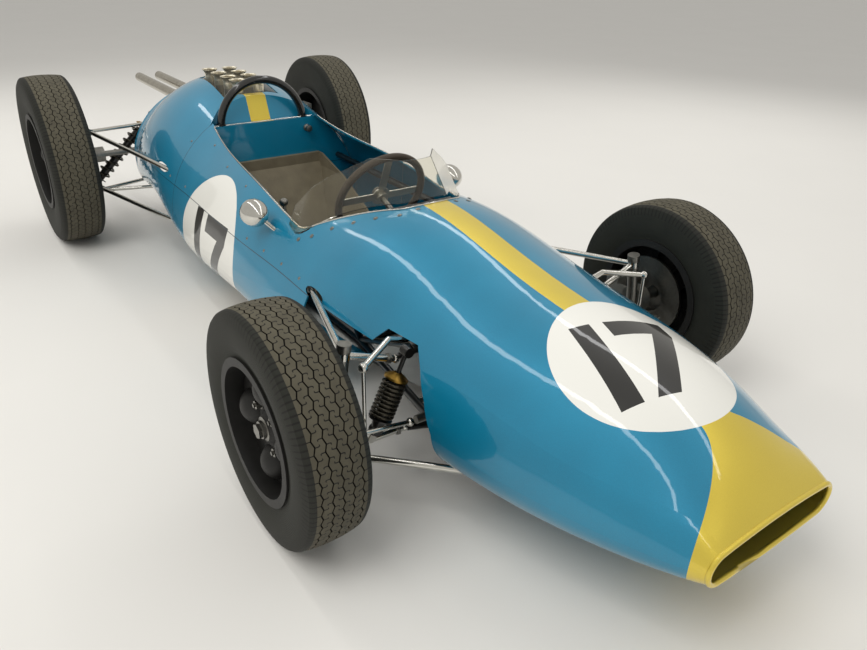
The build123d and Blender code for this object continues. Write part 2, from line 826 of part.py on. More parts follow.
def on_kingpin(height, side):
    share = (height - lower_ball[2]) / (upper_ball[2] - lower_ball[2])
    return Vector(front_axle, side * (lower_ball[1] + share * (upper_ball[1] - lower_ball[1])), height)


def add_eye(centre, axis, outer, bore, height):
    """Adds a ring round a pin to the part that is being built."""
    half = axis * (height / 2)
    add_bar(Vector(*centre) - half, Vector(*centre) + half, outer)
    add_bar(Vector(*centre) - half * 1.5, Vector(*centre) + half * 1.5, bore, Mode.SUBTRACT)


disc_inner_face = front_wheel_y - 70.0
disc_thickness = 8.0
disc_radius = 122.0
disc_hat = 60.0
disc_bore = 20.0
hat_wall = 5.0
hub_face = front_wheel_y - 35.0
caliper_clear = 5.0
caliper_size = (46.0, 78.0, 66.0)
caliper_at = (-107.0, 583.0)
bracket_size = (74.5, 10.0, 30.0)
bracket_at = (-80.0, 549.0)
for side, name in ((1, "left"), (-1, "right")):
    up = kingpin(side)
    top = Vector(*both_sides([upper_ball], side)[0])
    foot = Vector(*both_sides([lower_ball], side)[0])
    tip = Vector(*both_sides([arm_tip], side)[0])
    shoulder = eye_height / 2 + 1
    half_eye = rod_eye_height / 2 + 3
    with BuildPart() as front_upright:
        add_bar(foot - up * pin_past, top + up * pin_past, pin_radius)
        add_bar(foot + up * shoulder, top - up * shoulder, shoulder_radius)
        add_bar(top + up * shoulder, top + up * (shoulder + cap_height), shoulder_radius + 2)
        add_bar(foot - up * (shoulder + cap_height / 2), foot - up * shoulder, shoulder_radius - 2)
        hub = on_kingpin(front_hub_z, side)
        add_bar(hub, (front_axle, side * carrier_face, front_hub_z), carrier_radius)
        add_bar(hub, (front_axle, side * (front_wheel_y + stub_past), front_hub_z), stub_radius)
        # Steering arm, with the pin of the track rod at its tip
        arm_foot = tip - up * (half_eye + arm_drop)
        add_bar(on_kingpin(arm_tip[2] - arm_drop, side), tip - up * (half_eye + arm_drop / 2), arm_radius)
        add_bar(arm_foot, tip - up * half_eye, arm_radius + 3)
        add_bar(arm_foot, tip + up * (half_eye + 4), track_pin)
    save(front_upright.part, "front_upright_" + name)

    with BuildPart() as track_rod:
        inner = Vector(rack_x, side * rack_end_y, rack_z)
        add_bar(tip, inner, track_rod_radius)
        add_ball(inner, rod_ball)
        add_eye(tip, up, track_ball, track_pin + running_gap, rod_eye_height)
    save(track_rod.part, "track_rod_" + name)

    # Brake disc on the hub, and its caliper behind the axle
    axle_plane = Plane(origin=(front_axle, 0, front_hub_z), x_dir=(0, side, 0), z_dir=(side, 0, 0))
    axle_axis = Axis((front_axle, 0, front_hub_z), (0, 1, 0))
    with BuildPart() as brake_disc:
        with BuildSketch(axle_plane) as disc_face:
            with BuildLine():
                Polyline((disc_inner_face, disc_hat - hat_wall), (disc_inner_face, disc_radius),
                         (disc_inner_face + disc_thickness, disc_radius),
                         (disc_inner_face + disc_thickness, disc_hat), (hub_face, disc_hat),
                         (hub_face, disc_bore), (hub_face - hat_wall, disc_bore),
                         (hub_face - hat_wall, disc_hat - hat_wall), close=True)
            make_face()
        revolve(disc_face.sketch, axis=axle_axis)
    save(brake_disc.part, "brake_disc_" + name)

    with BuildPart() as caliper:
        with Locations((front_axle + caliper_at[0], side * caliper_at[1], front_hub_z)):
            Box(*caliper_size)
        with Locations((front_axle + bracket_at[0], side * bracket_at[1], front_hub_z)):
            Box(*bracket_size)
        with BuildSketch(axle_plane) as slot:
            with Locations((disc_inner_face + disc_thickness / 2, (disc_radius + caliper_clear) / 2)):
                Rectangle(disc_thickness + 2 * caliper_clear, disc_radius + caliper_clear)
        revolve(slot.sketch, axis=axle_axis, mode=Mode.SUBTRACT)
    save(caliper.part, "front_caliper_" + name)

# Steering rack
rack_radius = 11.0
housing_radius = 22.0
housing_half = 225.0
housing_foot = 11.0
tower_radius = 19.0
tower_height = 60.0
with BuildPart() as rack_bar:
    reach = rack_end_y - rod_ball - rack_clear
    add_bar((rack_x, -reach, rack_z), (rack_x, reach, rack_z), rack_radius)
save(rack_bar.part, "rack_bar")

rack_centre = Vector(rack_x, 0, rack_z)
column_foot = rack_centre + column_axis * (rack_radius + rack_clear)
column_past = 8.0
with BuildPart() as rack_housing:
    add_bar((rack_x, -housing_half, rack_z), (rack_x, housing_half, rack_z), housing_radius)
    add_bar(rack_centre, rack_centre + column_axis * tower_height, tower_radius)
    for side in (1, -1):
        # Feet saddled on the frame diagonals
        ring_front, ring_rear = ring_corners(RINGS[0], side), ring_corners(RINGS[1], side)
        saddle = along(ring_front[1], ring_rear[0], rack_x)
        add_bar((rack_x, saddle[1], rack_z), (rack_x, saddle[1], saddle[2]), housing_foot)
        add_bar(ring_front[1], ring_rear[0], diagonal_radius + seat_gap, Mode.SUBTRACT)
    add_bar((rack_x, -housing_half, rack_z), (rack_x, housing_half, rack_z), rack_radius + running_gap,
            Mode.SUBTRACT)
    add_bar(rack_centre, rack_centre + column_axis * 2 * tower_height, column_radius + running_gap,
            Mode.SUBTRACT)
save(rack_housing.part, "rack_housing")

with BuildPart() as steering_column:
    add_bar(column_foot, Vector(*steering_centre) + column_axis * column_past, column_radius)
save(steering_column.part, "steering_column")

# Steering wheel with three flat spokes
wheel_radius = 152.0
grip_radius = 12.0
spoke_width = 26.0
spoke_sheet = 4.0
spoke_ring = 32.0
boss_radius = 20.0
boss_half = 15.0
with BuildPart() as steering_wheel:
    wheel_plane = Plane(origin=steering_centre, x_dir=(0, 1, 0), z_dir=column_axis)
    with BuildSketch(wheel_plane) as hub_face_sketch:
        Circle(spoke_ring)
        for angle in (0, 180, 270):
            with PolarLocations(wheel_radius / 2, 1, start_angle=angle):
                Rectangle(wheel_radius, spoke_width)
    extrude(hub_face_sketch.sketch, amount=spoke_sheet)
    boss = column_axis * boss_half
    add_bar(Vector(*steering_centre) - boss, Vector(*steering_centre) + boss, boss_radius)
    add_bar(Vector(*steering_centre) - 2 * boss, Vector(*steering_centre) + 2 * boss,
            column_radius + running_gap, Mode.SUBTRACT)
    rim_centre = Vector(*steering_centre) + wheel_plane.x_dir * wheel_radius
    with BuildSketch(Plane(origin=rim_centre, x_dir=wheel_plane.x_dir, z_dir=wheel_plane.y_dir)) as grip:
        Circle(grip_radius)
    revolve(grip.sketch, axis=Axis(steering_centre, column_axis))
save(steering_wheel.part, "steering_wheel")

# Instrument panel on the rear face of the dash hoop
panel_sheet = 3.0
panel_half = [(185.0, 410.0), (205.0, 470.0), (180.0, 528.0)]
with BuildPart() as instrument_panel:
    with BuildSketch(Plane.YZ.offset(dash_x - cross_radius - seat_gap)) as panel_face:
        with BuildLine():
            Polyline(*panel_half, *[(-y, z) for y, z in reversed(panel_half)], close=True)
        make_face()
    extrude(panel_face.sketch, amount=-panel_sheet)
    add_bar(bearing - 4 * half_bearing, bearing + 4 * half_bearing, bearing_radius + panel_gap,
            Mode.SUBTRACT)
save(instrument_panel.part, "instrument_panel")

# Gear lever on the right hand top rail, pointing at the driver's hand
lever_x = 330.0
lever_reach = 36.0
lever_pivot = 12.0
lever_shank = 5.0
lever_knob = 14.0
lever_rise = Vector(-18, 4, 64)
rail = along(ring_corners(RINGS[2], -1)[1], ring_corners(RINGS[3], -1)[1], lever_x)
with BuildPart() as gear_lever:
    lever_root = Vector(lever_x, rail[1] + lever_reach, rail[2])
    add_bar((lever_x, rail[1], rail[2]), lever_root, lever_pivot - 3)
    add_ball(lever_root, lever_pivot)
    add_bar(lever_root, lever_root + lever_rise, lever_shank)
    add_ball(lever_root + lever_rise, lever_knob)
    add_bar(ring_corners(RINGS[2], -1)[1], ring_corners(RINGS[3], -1)[1], tube_radius + seat_gap,
            Mode.SUBTRACT)
save(gear_lever.part, "gear_lever")

# Three pedals on a cross shaft between the lower longerons
pedal_x = 1040.0
PEDAL_Y = (90.0, 0.0, -90.0)
pedal_shaft = 8.0
pedal_arm = 7.0
pedal_lean = 36.0
pedal_height = 250.0
pad_size = (54.0, 70.0, 8.0)
pad_half = 6.0
with BuildPart() as pedals:
    pedal_low = along(ring_corners(RINGS[1], 1)[0], ring_corners(RINGS[2], 1)[0], pedal_x)
    add_bar((pedal_x, -pedal_low[1], pedal_low[2]), (pedal_x, pedal_low[1], pedal_low[2]), pedal_shaft)
    for side in (1, -1):
        add_bar(ring_corners(RINGS[1], side)[0], ring_corners(RINGS[2], side)[0],
                tube_radius + seat_gap, Mode.SUBTRACT)
    for y in PEDAL_Y:
        pad_centre = (pedal_x - pedal_lean, y, pedal_height)
        add_bar((pedal_x, y, pedal_low[2]), toward((pedal_x, y, pedal_low[2]), pad_centre, pad_half),
                pedal_arm)
        with BuildSketch(Plane(origin=pad_centre, x_dir=(0, 1, 0), z_dir=(-1, 0, 0.2))) as pad:
            RectangleRounded(*pad_size)
        extrude(pad.sketch, amount=pad_half, both=True)
save(pedals.part, "pedals")

# Front wishbones
bracket_radius = 11.0
with BuildPart() as front_wishbones:
    for side in (1, -1):
        up = kingpin(side)
        for outer, inner_ends in ((upper_ball, (upper_cross_end, upper_rear_end)),
                                  (lower_ball, (lower_cross_end, lower_front_end))):
            outer = Vector(*both_sides([outer], side)[0])
            for inner_end in both_sides(inner_ends, side):
                add_bar(outer, inner_end, rod_radius)
                add_ball(inner_end, rod_ball)
            add_eye(outer, up, eye_radius, pin_radius + running_gap, eye_height)
            for way in (1, -1):
                add_bar(outer + up * (way * eye_height / 2), outer + up * (way * 60),
                        shoulder_radius + shoulder_gap, Mode.SUBTRACT)
        # Bracket of the damper on the lower wishbone
        damper_foot, damper_head = both_sides(front_damper, side)
        lower_outer, lower_inner = both_sides([lower_ball, lower_cross_end], side)
        root = along((lower_outer[1], lower_outer[0], lower_outer[2]),
                     (lower_inner[1], lower_inner[0], lower_inner[2]), damper_foot[1])
        root = (root[1], root[0], root[2])
        add_bar(root, toward(root, damper_foot, damper_ball + seat_gap), bracket_radius)
save(front_wishbones.part, "front_wishbones")

# Dampers: a body, a rod, two eyes, two spring seats and a coil spring
coil_radius = 27.0
coil_wire = 4.5
coil_turns = 8
damper_rod = 8.0
damper_body = 17.0
rod_shown = 90.0
spring_low = 34.0
spring_high = 75.0
spring_seat = 5.0


def damper(foot, head):
    """One coil over damper between two points."""
    axis = (Vector(*head) - Vector(*foot)).normalized()
    length = (Vector(*head) - Vector(*foot)).length
    spring_start = spring_low
    spring_end = length - spring_high
    with BuildPart() as unit:
        add_ball(foot, damper_ball)
        add_ball(head, damper_ball)
        add_bar(foot, head, damper_rod)
        add_bar(foot, Vector(*foot) + axis * (length - rod_shown), damper_body)
        for at in (spring_start - spring_seat, spring_end):
            add_bar(Vector(*foot) + axis * at, Vector(*foot) + axis * (at + spring_seat),
                    coil_radius + coil_wire)
        base = Plane(origin=Vector(*foot) + axis * spring_start, z_dir=axis)
        pitch = (spring_end - spring_start) / coil_turns
        for turn in range(coil_turns):
            centre = Vector(*foot) + axis * (spring_start + (turn + 0.5) * pitch)
            with BuildSketch(Plane(origin=centre + base.x_dir * coil_radius, x_dir=base.x_dir,
                                   z_dir=base.y_dir)) as wire:
                RegularPolygon(coil_wire, 6)
            revolve(wire.sketch, axis=Axis(centre, axis))
        # The coils are carried by a thin sleeve inside the spring
        add_bar(base.origin, Vector(*foot) + axis * spring_end, coil_radius - coil_wire + 1)
    return unit.part


with BuildPart() as front_dampers:
    for side in (1, -1):
        add(damper(*both_sides(front_damper, side)))
save(front_dampers.part, "front_dampers")

with BuildPart() as rear_dampers:
    for side in (1, -1):
        add(damper(*both_sides(rear_damper, side)))
save(rear_dampers.part, "rear_dampers")

# Anti roll bar with drop links to the lower wishbones
bar_radius = 8.0
bar_x = 1140.0
bar_on_rail = along(ring_corners(RINGS[1], 1)[1], ring_corners(RINGS[2], 1)[1], bar_x)
bar_z = bar_on_rail[2] + tube_radius + bar_radius + 2 * seat_gap
bar_corner_y = 322.0
bar_bend = (1150.0, 372.0, 412.0)
bar_end = (1215.0, 481.0, 402.0)
bar_ball = 12.0
link_radius = 5.0
link_foot = along(lower_ball, lower_front_end, bar_end[0])
with BuildPart() as anti_roll_bar:
    for side in (1, -1):
        corner, bend = both_sides([(bar_x, bar_corner_y, bar_z), bar_bend], side)
        end, foot = both_sides([bar_end, link_foot], side)
        add_bar((bar_x, 0, bar_z), corner, bar_radius)
        add_ball(corner, bar_radius)
        add_bar(corner, bend, bar_radius)
        add_ball(bend, bar_radius)
        add_bar(bend, end, bar_radius)
        add_ball(end, bar_ball)
        add_bar(end, foot, link_radius)
        start, finish = both_sides([lower_ball, lower_front_end], side)
        add_bar(start, finish, rod_radius + seat_gap, Mode.SUBTRACT)
        # The drop link ends on the lower wishbone
        with BuildSketch(Plane.XY) as under_leg:
            with Locations((foot[0], foot[1])):
                Rectangle(4 * rod_radius, 4 * rod_radius)
        extrude(under_leg.sketch, amount=foot[2], mode=Mode.SUBTRACT)
save(anti_roll_bar.part, "anti_roll_bar")

# Rear uprights: a cast plate with a bearing hub for the half shaft
upright_thick = 22.0
bearing_radius_rear = 46.0
bearing_face = 612.0
# Outline in the side view, from the top front corner, measured along X from the axle
UPRIGHT_OUTLINE = [(52, 498), (-36, 498), (-46, 362), (-78, 190), (-20, 172), (64, 205), (60, 250),
                   (46, 362)]
with BuildPart() as rear_uprights:
    for side in (1, -1):
        plate = Plane(origin=(0, side * upright_inner, 0), x_dir=(1, 0, 0), z_dir=(0, -1, 0))
        with BuildSketch(plate) as outline:
            with BuildLine():
                Polyline(*[(rear_axle + x, z) for x, z in UPRIGHT_OUTLINE], close=True)
            make_face()
        extrude(outline.sketch, amount=-side * upright_thick)
        add_bar((rear_axle, side * upright_inner, diff_z), (rear_axle, side * bearing_face, diff_z),
                bearing_radius_rear)
        add_bar((rear_axle, 0, diff_z), (rear_axle, side * rear_wheel_y, diff_z),
                stub_radius + running_gap, Mode.SUBTRACT)
save(rear_uprights.part, "rear_uprights")

# Half shafts, each with its inboard brake disc, joints and stub
inboard_disc_y = 150.0
inboard_disc_radius = 108.0
inboard_disc_half = 5.0
# Start and end of each step along Y, and its radius
SHAFT_STEPS = [
    (output_y + seat_gap, 170.0, 30.0),
    (170.0, 530.0, 13.0),
    (500.0, rear_wheel_y + 30.0, stub_radius),
    (inboard_disc_y - inboard_disc_half, inboard_disc_y + inboard_disc_half, inboard_disc_radius),
    (175.0, 215.0, 34.0),
    (480.0, 520.0, 34.0),
]
for side, name in ((1, "left"), (-1, "right")):
    with BuildPart() as half_shaft:
        for start, end, radius in SHAFT_STEPS:
            add_bar((rear_axle, side * start, diff_z), (rear_axle, side * end, diff_z), radius)
    save(half_shaft.part, "half_shaft_" + name)

# Links of the rear suspension
with BuildPart() as rear_links:
    for side in (1, -1):
        for start, end in (upper_link, *lower_links):
            start, end = both_sides([start, end], side)
            add_ball(start, rod_ball)
            add_ball(end, rod_ball)
            add_bar(start, end, rod_radius - 1)
save(rear_links.part, "rear_links")

with BuildPart() as radius_rods:
    for side in (1, -1):
        for start, end in (upper_rod, lower_rod):
            start, end = both_sides([start, end], side)
            add_ball(start, rod_ball)
            add_ball(end, rod_ball)
            add_bar(start, end, rod_radius)
save(radius_rods.part, "radius_rods")

# Mirrors on short stalks
mirror_centre = (400.0, 377.0, 506.0)
mirror_radius = 42.0
mirror_length = 75.0
mirror_stalk = 7.0
mirror_foot = (428.0, 318.0, 440.0)
with BuildPart() as mirrors:
    for side in (1, -1):
        x, y, z = both_sides([mirror_centre], side)[0]
        with BuildSketch(Plane(origin=(x, y, z), x_dir=(1, 0, 0), z_dir=(0, -1, 0))) as bullet:
            with BuildLine():
                Line((-mirror_length / 2, 0), (mirror_length / 2, 0))
                Line((-mirror_length / 2, 0), (-mirror_length / 2, mirror_radius))
                ThreePointArc((-mirror_length / 2, mirror_radius), (mirror_length * 0.2, mirror_radius * 0.72),
                              (mirror_length / 2, 0))
            make_face()
        revolve(bullet.sketch, axis=Axis((x, y, z), (1, 0, 0)))
        add_bar((x, y, z), both_sides([mirror_foot], side)[0], mirror_stalk)
    add(Pos(0, 0, seat_gap) * outer_body, mode=Mode.SUBTRACT)
save(mirrors.part, "mirrors")


# Wheels
tread_share = 0.80
tread_crown = 6.0
shoulder_bulge = 9.0
shoulder_inset = 3.0
shoulder_drop = 24.0
bead_rise = 6.0


def wheel_profile(tyre_radius, tyre_width, rim_radius, rim_width):
    """Half section of a tyre: outboard offset and radius, with its beads inside the rim flanges."""
    bead = rim_radius - rim_flange
    half = tyre_width / 2
    tread = half * tread_share
    seat = rim_width / 2 - rim_lip - seat_gap
    crown_edge = tyre_radius - tread_crown
    shoulder = (half - shoulder_inset, tyre_radius - shoulder_drop)
    with BuildLine() as line:
        ThreePointArc((-tread, crown_edge), (0, tyre_radius), (tread, crown_edge))
        for side in (1, -1):
            ThreePointArc((side * tread, crown_edge),
                          (side * (tread + shoulder_bulge), crown_edge - shoulder_bulge / 2),
                          (side * shoulder[0], shoulder[1]))
            ThreePointArc((side * shoulder[0], shoulder[1]),
                          (side * half, (tyre_radius + rim_radius) / 2),
                          (side * seat, rim_radius + bead_rise))
            Line((side * seat, rim_radius + bead_rise), (side * seat, bead))
        Line((-seat, bead), (seat, bead))
    return line.line


WHEEL_COLUMNS = ("corner", "station", "side", "wheel_y", "tyre_radius", "tyre_width", "rim_radius",
                 "rim_width")
WHEELS = [
    ("front_left", front_axle, 1, front_wheel_y, front_tyre_radius, front_tyre_width, front_rim_radius,
     front_rim_width),
    ("front_right", front_axle, -1, front_wheel_y, front_tyre_radius, front_tyre_width, front_rim_radius,
     front_rim_width),
    ("rear_left", rear_axle, 1, rear_wheel_y, rear_tyre_radius, rear_tyre_width, rear_rim_radius,
     rear_rim_width),
    ("rear_right", rear_axle, -1, rear_wheel_y, rear_tyre_radius, rear_tyre_width, rear_rim_radius,
     rear_rim_width),
]
rim_shell = 8.0
rim_lip = 5.0
rim_flange = 13.0
rim_disc_offset = 20.0
rim_disc = 12.0
hub_radius = 42.0
hub_inner = -34.7
hub_nose = 24.0
hub_nose_radius = 30.0
rim_bend = 0.72
lobe_count = 4
lobe_place = 0.56
lobe_radius = 46.0
lobe_wall = 7.0
lobe_sink = 18.0
for row in WHEELS:
    wheel = dict(zip(WHEEL_COLUMNS, row))
    centre = (wheel["station"], wheel["side"] * wheel["wheel_y"], wheel["tyre_radius"])
    plane = Plane(origin=centre, x_dir=(0, wheel["side"], 0), z_dir=(wheel["side"], 0, 0))
    spin = Axis(centre, (0, 1, 0))
    rim_r = wheel["rim_radius"]
    half = wheel["rim_width"] / 2
    bead = rim_r - rim_flange
    rim_bore = bead - rim_shell
    half_disc = rim_disc / 2
    hub_bore = stub_radius + running_gap
    with BuildPart() as tyre:
        with BuildSketch(plane) as section:
            with BuildLine():
                add(wheel_profile(wheel["tyre_radius"], wheel["tyre_width"], rim_r, wheel["rim_width"]))
            make_face()
        revolve(section.sketch, axis=spin)
    save(tyre.part, "tyre_" + wheel["corner"])

    with BuildPart() as rim:
        with BuildSketch(plane) as barrel:
            with BuildLine():
                Polyline((-half, rim_r), (-half, rim_bore), (half, rim_bore), (half, rim_r),
                         (half - rim_lip, rim_r), (half - rim_lip, bead - seat_gap),
                         (rim_lip - half, bead - seat_gap), (rim_lip - half, rim_r), close=True)
            make_face()
        revolve(barrel.sketch, axis=spin)
        with BuildSketch(plane) as web:
            with BuildLine():
                Polyline((hub_inner, hub_bore), (rim_disc_offset + hub_nose, hub_bore),
                         (rim_disc_offset + hub_nose, hub_nose_radius),
                         (rim_disc_offset + rim_disc, hub_radius),
                         (rim_disc_offset + half_disc, rim_r * rim_bend),
                         (rim_disc_offset + half_disc, rim_bore + 2),
                         (rim_disc_offset - half_disc, rim_bore + 2),
                         (rim_disc_offset - half_disc, rim_r * rim_bend),
                         (rim_disc_offset, hub_radius), (hub_inner, hub_radius), close=True)
            make_face()
        revolve(web.sketch, axis=spin)
        # Lobes of the web between the studs, hollow behind
        web_face = Plane(origin=centre, x_dir=(1, 0, 0), z_dir=(0, wheel["side"], 0))
        lobe_plane = web_face.offset(rim_disc_offset + rim_disc - lobe_sink)
        with Locations(lobe_plane):
            with PolarLocations(rim_r * lobe_place, lobe_count):
                Sphere(lobe_radius)
        with Locations(lobe_plane):
            with PolarLocations(rim_r * lobe_place, lobe_count):
                Sphere(lobe_radius - lobe_wall, mode=Mode.SUBTRACT)
        with BuildSketch(web_face.offset(rim_disc_offset - lobe_sink)) as behind:
            Circle(rim_bore - 1)
            Circle(hub_radius + 0.5, mode=Mode.SUBTRACT)
        extrude(behind.sketch, amount=-lobe_radius, mode=Mode.SUBTRACT)
    save(rim.part, "rim_" + wheel["corner"])
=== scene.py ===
import json
import math
from functools import partial

import bmesh
import bpy
from bpy.props import FloatProperty, FloatVectorProperty, IntProperty, StringProperty
from mathutils import Matrix, Vector
from mathutils.bvhtree import BVHTree


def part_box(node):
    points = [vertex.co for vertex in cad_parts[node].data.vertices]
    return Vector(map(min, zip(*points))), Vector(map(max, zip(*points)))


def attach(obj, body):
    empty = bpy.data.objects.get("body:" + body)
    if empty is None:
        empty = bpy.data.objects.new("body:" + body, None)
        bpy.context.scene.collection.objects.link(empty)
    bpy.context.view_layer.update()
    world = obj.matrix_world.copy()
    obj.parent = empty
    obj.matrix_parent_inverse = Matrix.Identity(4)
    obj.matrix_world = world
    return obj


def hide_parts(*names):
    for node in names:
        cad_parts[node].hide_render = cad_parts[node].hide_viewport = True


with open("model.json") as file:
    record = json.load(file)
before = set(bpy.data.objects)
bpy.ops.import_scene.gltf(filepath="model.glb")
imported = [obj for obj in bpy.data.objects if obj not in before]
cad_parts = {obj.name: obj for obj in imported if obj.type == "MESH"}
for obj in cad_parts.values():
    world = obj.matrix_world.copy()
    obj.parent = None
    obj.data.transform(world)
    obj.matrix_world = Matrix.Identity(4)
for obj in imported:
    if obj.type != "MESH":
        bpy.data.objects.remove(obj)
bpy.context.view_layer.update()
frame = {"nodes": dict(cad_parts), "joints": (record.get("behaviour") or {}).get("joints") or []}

bl_info = {
    "name": "Open wheel racing car",
    "version": (1, 0, 0),
    "blender": (4, 5, 0),
    "location": "View3D > Sidebar > Racing car",
    "description": "Finishes and fittings of a rear engined open wheel racing car",
    "category": "Object",
}

MM = 0.001
CORNERS = ("front_left", "front_right", "rear_left", "rear_right")


class RacingCarSettings(bpy.types.PropertyGroup):
    """Sizes and colours of the car that a user would change."""

    blue: StringProperty(name="Body blue", description="Paint of the body, as an sRGB hex value",
                         default="#0690B5")
    gold: StringProperty(name="Stripe gold", description="Paint of the stripe and nose, as an sRGB hex value",
                         default="#EFD750")
    roundel: StringProperty(name="Roundel white", description="Paint of the number discs",
                            default="#DEDCD3")
    numeral: StringProperty(name="Numeral black", description="Paint of the racing numbers",
                            default="#0E0D0B")
    stripe_half_width: FloatProperty(name="Stripe half width", description="Half width of the centre stripe",
                                     default=0.042, unit="LENGTH")
    roundel_radius: FloatProperty(name="Nose roundel radius", description="Radius of the disc on the nose",
                                  default=0.207, unit="LENGTH")
    side_radius: FloatProperty(name="Side roundel radius", description="Radius of the discs on the sides",
                               default=0.254, unit="LENGTH")
    tread_pitch: FloatProperty(name="Tread pitch", description="Length of one zigzag along the tread",
                               default=0.029, unit="LENGTH")
    groove_width: FloatProperty(name="Groove width", description="Width of a tread groove",
                                default=0.0034, unit="LENGTH")
    groove_depth: FloatProperty(name="Groove depth", description="Depth of a tread groove",
                                default=0.006, unit="LENGTH")
    groove_count: IntProperty(name="Grooves", description="Zigzag grooves across one tread", default=5)
    coil_turns: IntProperty(name="Spring turns", description="Turns of each suspension spring", default=9)
    floor: StringProperty(name="Floor", description="Colour of the studio floor", default="#DAD7D0")
    lamp_power: FloatProperty(name="Lamp power", description="Power of the main lamp", default=130.0,
                              unit="POWER")
    world_light: FloatProperty(name="World light", description="Strength of the even light from all round",
                               default=0.62)
    backdrop: FloatProperty(name="Backdrop", description="Brightness of the pale backdrop, where 1 is full",
                            default=0.76)
    camera_place: FloatVectorProperty(name="Camera place", description="Where the camera stands",
                                      default=(2.4512, -1.1806, 1.2626), subtype="TRANSLATION")


def settings():
    """The sizes and colours that are set for this scene."""
    return bpy.context.scene.racing_car


# Colours and nodes

def to_linear(hex_value):
    """Linear RGBA of an sRGB hex colour."""
    channels = [int(hex_value[k:k + 2], 16) / 255 for k in (1, 3, 5)]
    return [c / 12.92 if c <= 0.04045 else ((c + 0.055) / 1.055) ** 2.4 for c in channels] + [1.0]


def add_node(tree, kind, *values, **named):
    """First output of a new node, whose inputs are set or linked in order or by name.

    A kind in capitals is an operation of the Math node. A name in small letters is an option of the node,
    and a text value is a hex colour.
    """
    node = tree.nodes.new("ShaderNode" + ("Math" if kind.isupper() else kind))
    if kind.isupper():
        node.operation = kind
    for name, value in named.items():
        if name.islower():
            setattr(node, name, value)
    pairs = list(zip([socket for socket in node.inputs if socket.enabled], values))
    pairs += [(node.inputs[name.replace("_", " ")], value)
              for name, value in named.items() if not name.islower()]
    for socket, value in pairs:
        if isinstance(value, bpy.types.NodeSocket):
            tree.links.new(value, socket)
        else:
            socket.default_value = to_linear(value) if isinstance(value, str) else value
    return next((socket for socket in node.outputs if socket.enabled), None)


def start_material(name):
    """A new material without nodes, as (material, add_node for its tree, place on the object)."""
    material = bpy.data.materials.new(name)
    material.use_nodes = True
    material.node_tree.nodes.clear()
    add = partial(add_node, material.node_tree)
    return material, add, add("TexCoord").node.outputs["Object"]


def span(low, high):
    """Middle and half width of a range, as the Compare operation takes them."""
    return (low + high) / 2, (high - low) / 2


def finish(name, dark, light, grain, low, high, bump=0.0, **shader):
    """Material with colour and roughness that wander between two values over a grain in metres."""
    material, add, place = start_material(name)
    share = add("TexNoise", place, 1 / grain, 3.0)
    if bump:
        fine = add("TexNoise", place, 6 / grain, 3.0)
        shader["Normal"] = add("Bump", Height=fine, Distance=bump)
    add("OutputMaterial", add("BsdfPrincipled", **shader,
                              Base_Color=add("Mix", share, dark, light, data_type="RGBA"),
                              Roughness=add("MapRange", share, To_Min=low, To_Max=high)))
    return material


# Numerals, in their own plane: across in reading direction, down from the tops to the feet
NUMERAL_TOP = -0.115
NUMERAL_FOOT = 0.130
ONE_LEFT = -0.123
ONE_RIGHT = -0.071
SEVEN_LEFT = -0.037
SEVEN_RIGHT = 0.118
SEVEN_BAR = 0.056
STEM_HALF_WIDTH = 0.028
STEM_LEAN = 0.54
# Number discs: the nose's in plan, on the upper side only, and the sides' in side view, on the outside only
NOSE_CENTRE = (1.602, 0.0)
NOSE_TURN = math.radians(17)
NOSE_DISC_ABOVE = 0.26
SIDE_CENTRE = (0.002, 0.262)
SIDE_DISC_BEYOND = 0.24
SIDEWAYS = 0.02
# The side numbers are larger than the nose's, and stand a little ahead of their disc's centre
SIDE_NUMBER_HEIGHT = 0.264
SIDE_NUMBER_START = 0.026
SIDE_NUMBER_WIDEN = 1.2
SIDE_NUMBER_TALLER = 1.1
# The gold nose ends in an arc on the right side of the car and in a straighter line on the left
GOLD_START = 1.803
GOLD_HALF_WIDTH = 0.047
GOLD_BEND = 9.06
GOLD_LEFT_START = 1.775
GOLD_LEFT_SWEEP = 0.65
# The stripe lies on the upper side, and leaves out these stretches: behind the trumpets and over the cockpit
STRIPE_ABOVE = 0.40
UNSTRIPED = ((-2.0, -0.4885), (-0.3798, 0.5))
# Shut lines: between the upper mouldings and the side panels in side view, and across the deck
SEAM_FRONT = (0.735, 0.366)
SEAM_REAR = (-1.120, 0.424)
SEAM_HALF_WIDTH = 1.1 * MM
DECK_SEAM = (-0.3812, -0.3788)


def seventeen(add, across, down):
    """1 on the strokes of a plain block 17."""
    bar_foot = NUMERAL_TOP + SEVEN_BAR
    one = add("MULTIPLY", add("COMPARE", down, *span(NUMERAL_TOP, NUMERAL_FOOT)),
              add("COMPARE", across, *span(ONE_LEFT, ONE_RIGHT)))
    bar = add("MULTIPLY", add("COMPARE", across, *span(SEVEN_LEFT, SEVEN_RIGHT)),
              add("COMPARE", down, *span(NUMERAL_TOP, bar_foot)))
    leaning = add("MULTIPLY_ADD", add("SUBTRACT", down, bar_foot), STEM_LEAN, across)
    stem = add("MULTIPLY", add("COMPARE", leaning, SEVEN_RIGHT - STEM_HALF_WIDTH, STEM_HALF_WIDTH),
               add("COMPARE", down, *span(bar_foot, NUMERAL_FOOT)))
    return add("MAXIMUM", one, add("MAXIMUM", bar, stem))


def disc(add, first, second, centre, radius):
    """1 inside a disc."""
    reach = [add("POWER", add("SUBTRACT", value, middle), 2.0)
             for value, middle in zip((first, second), centre)]
    return add("LESS_THAN", add("ADD", *reach), radius ** 2)


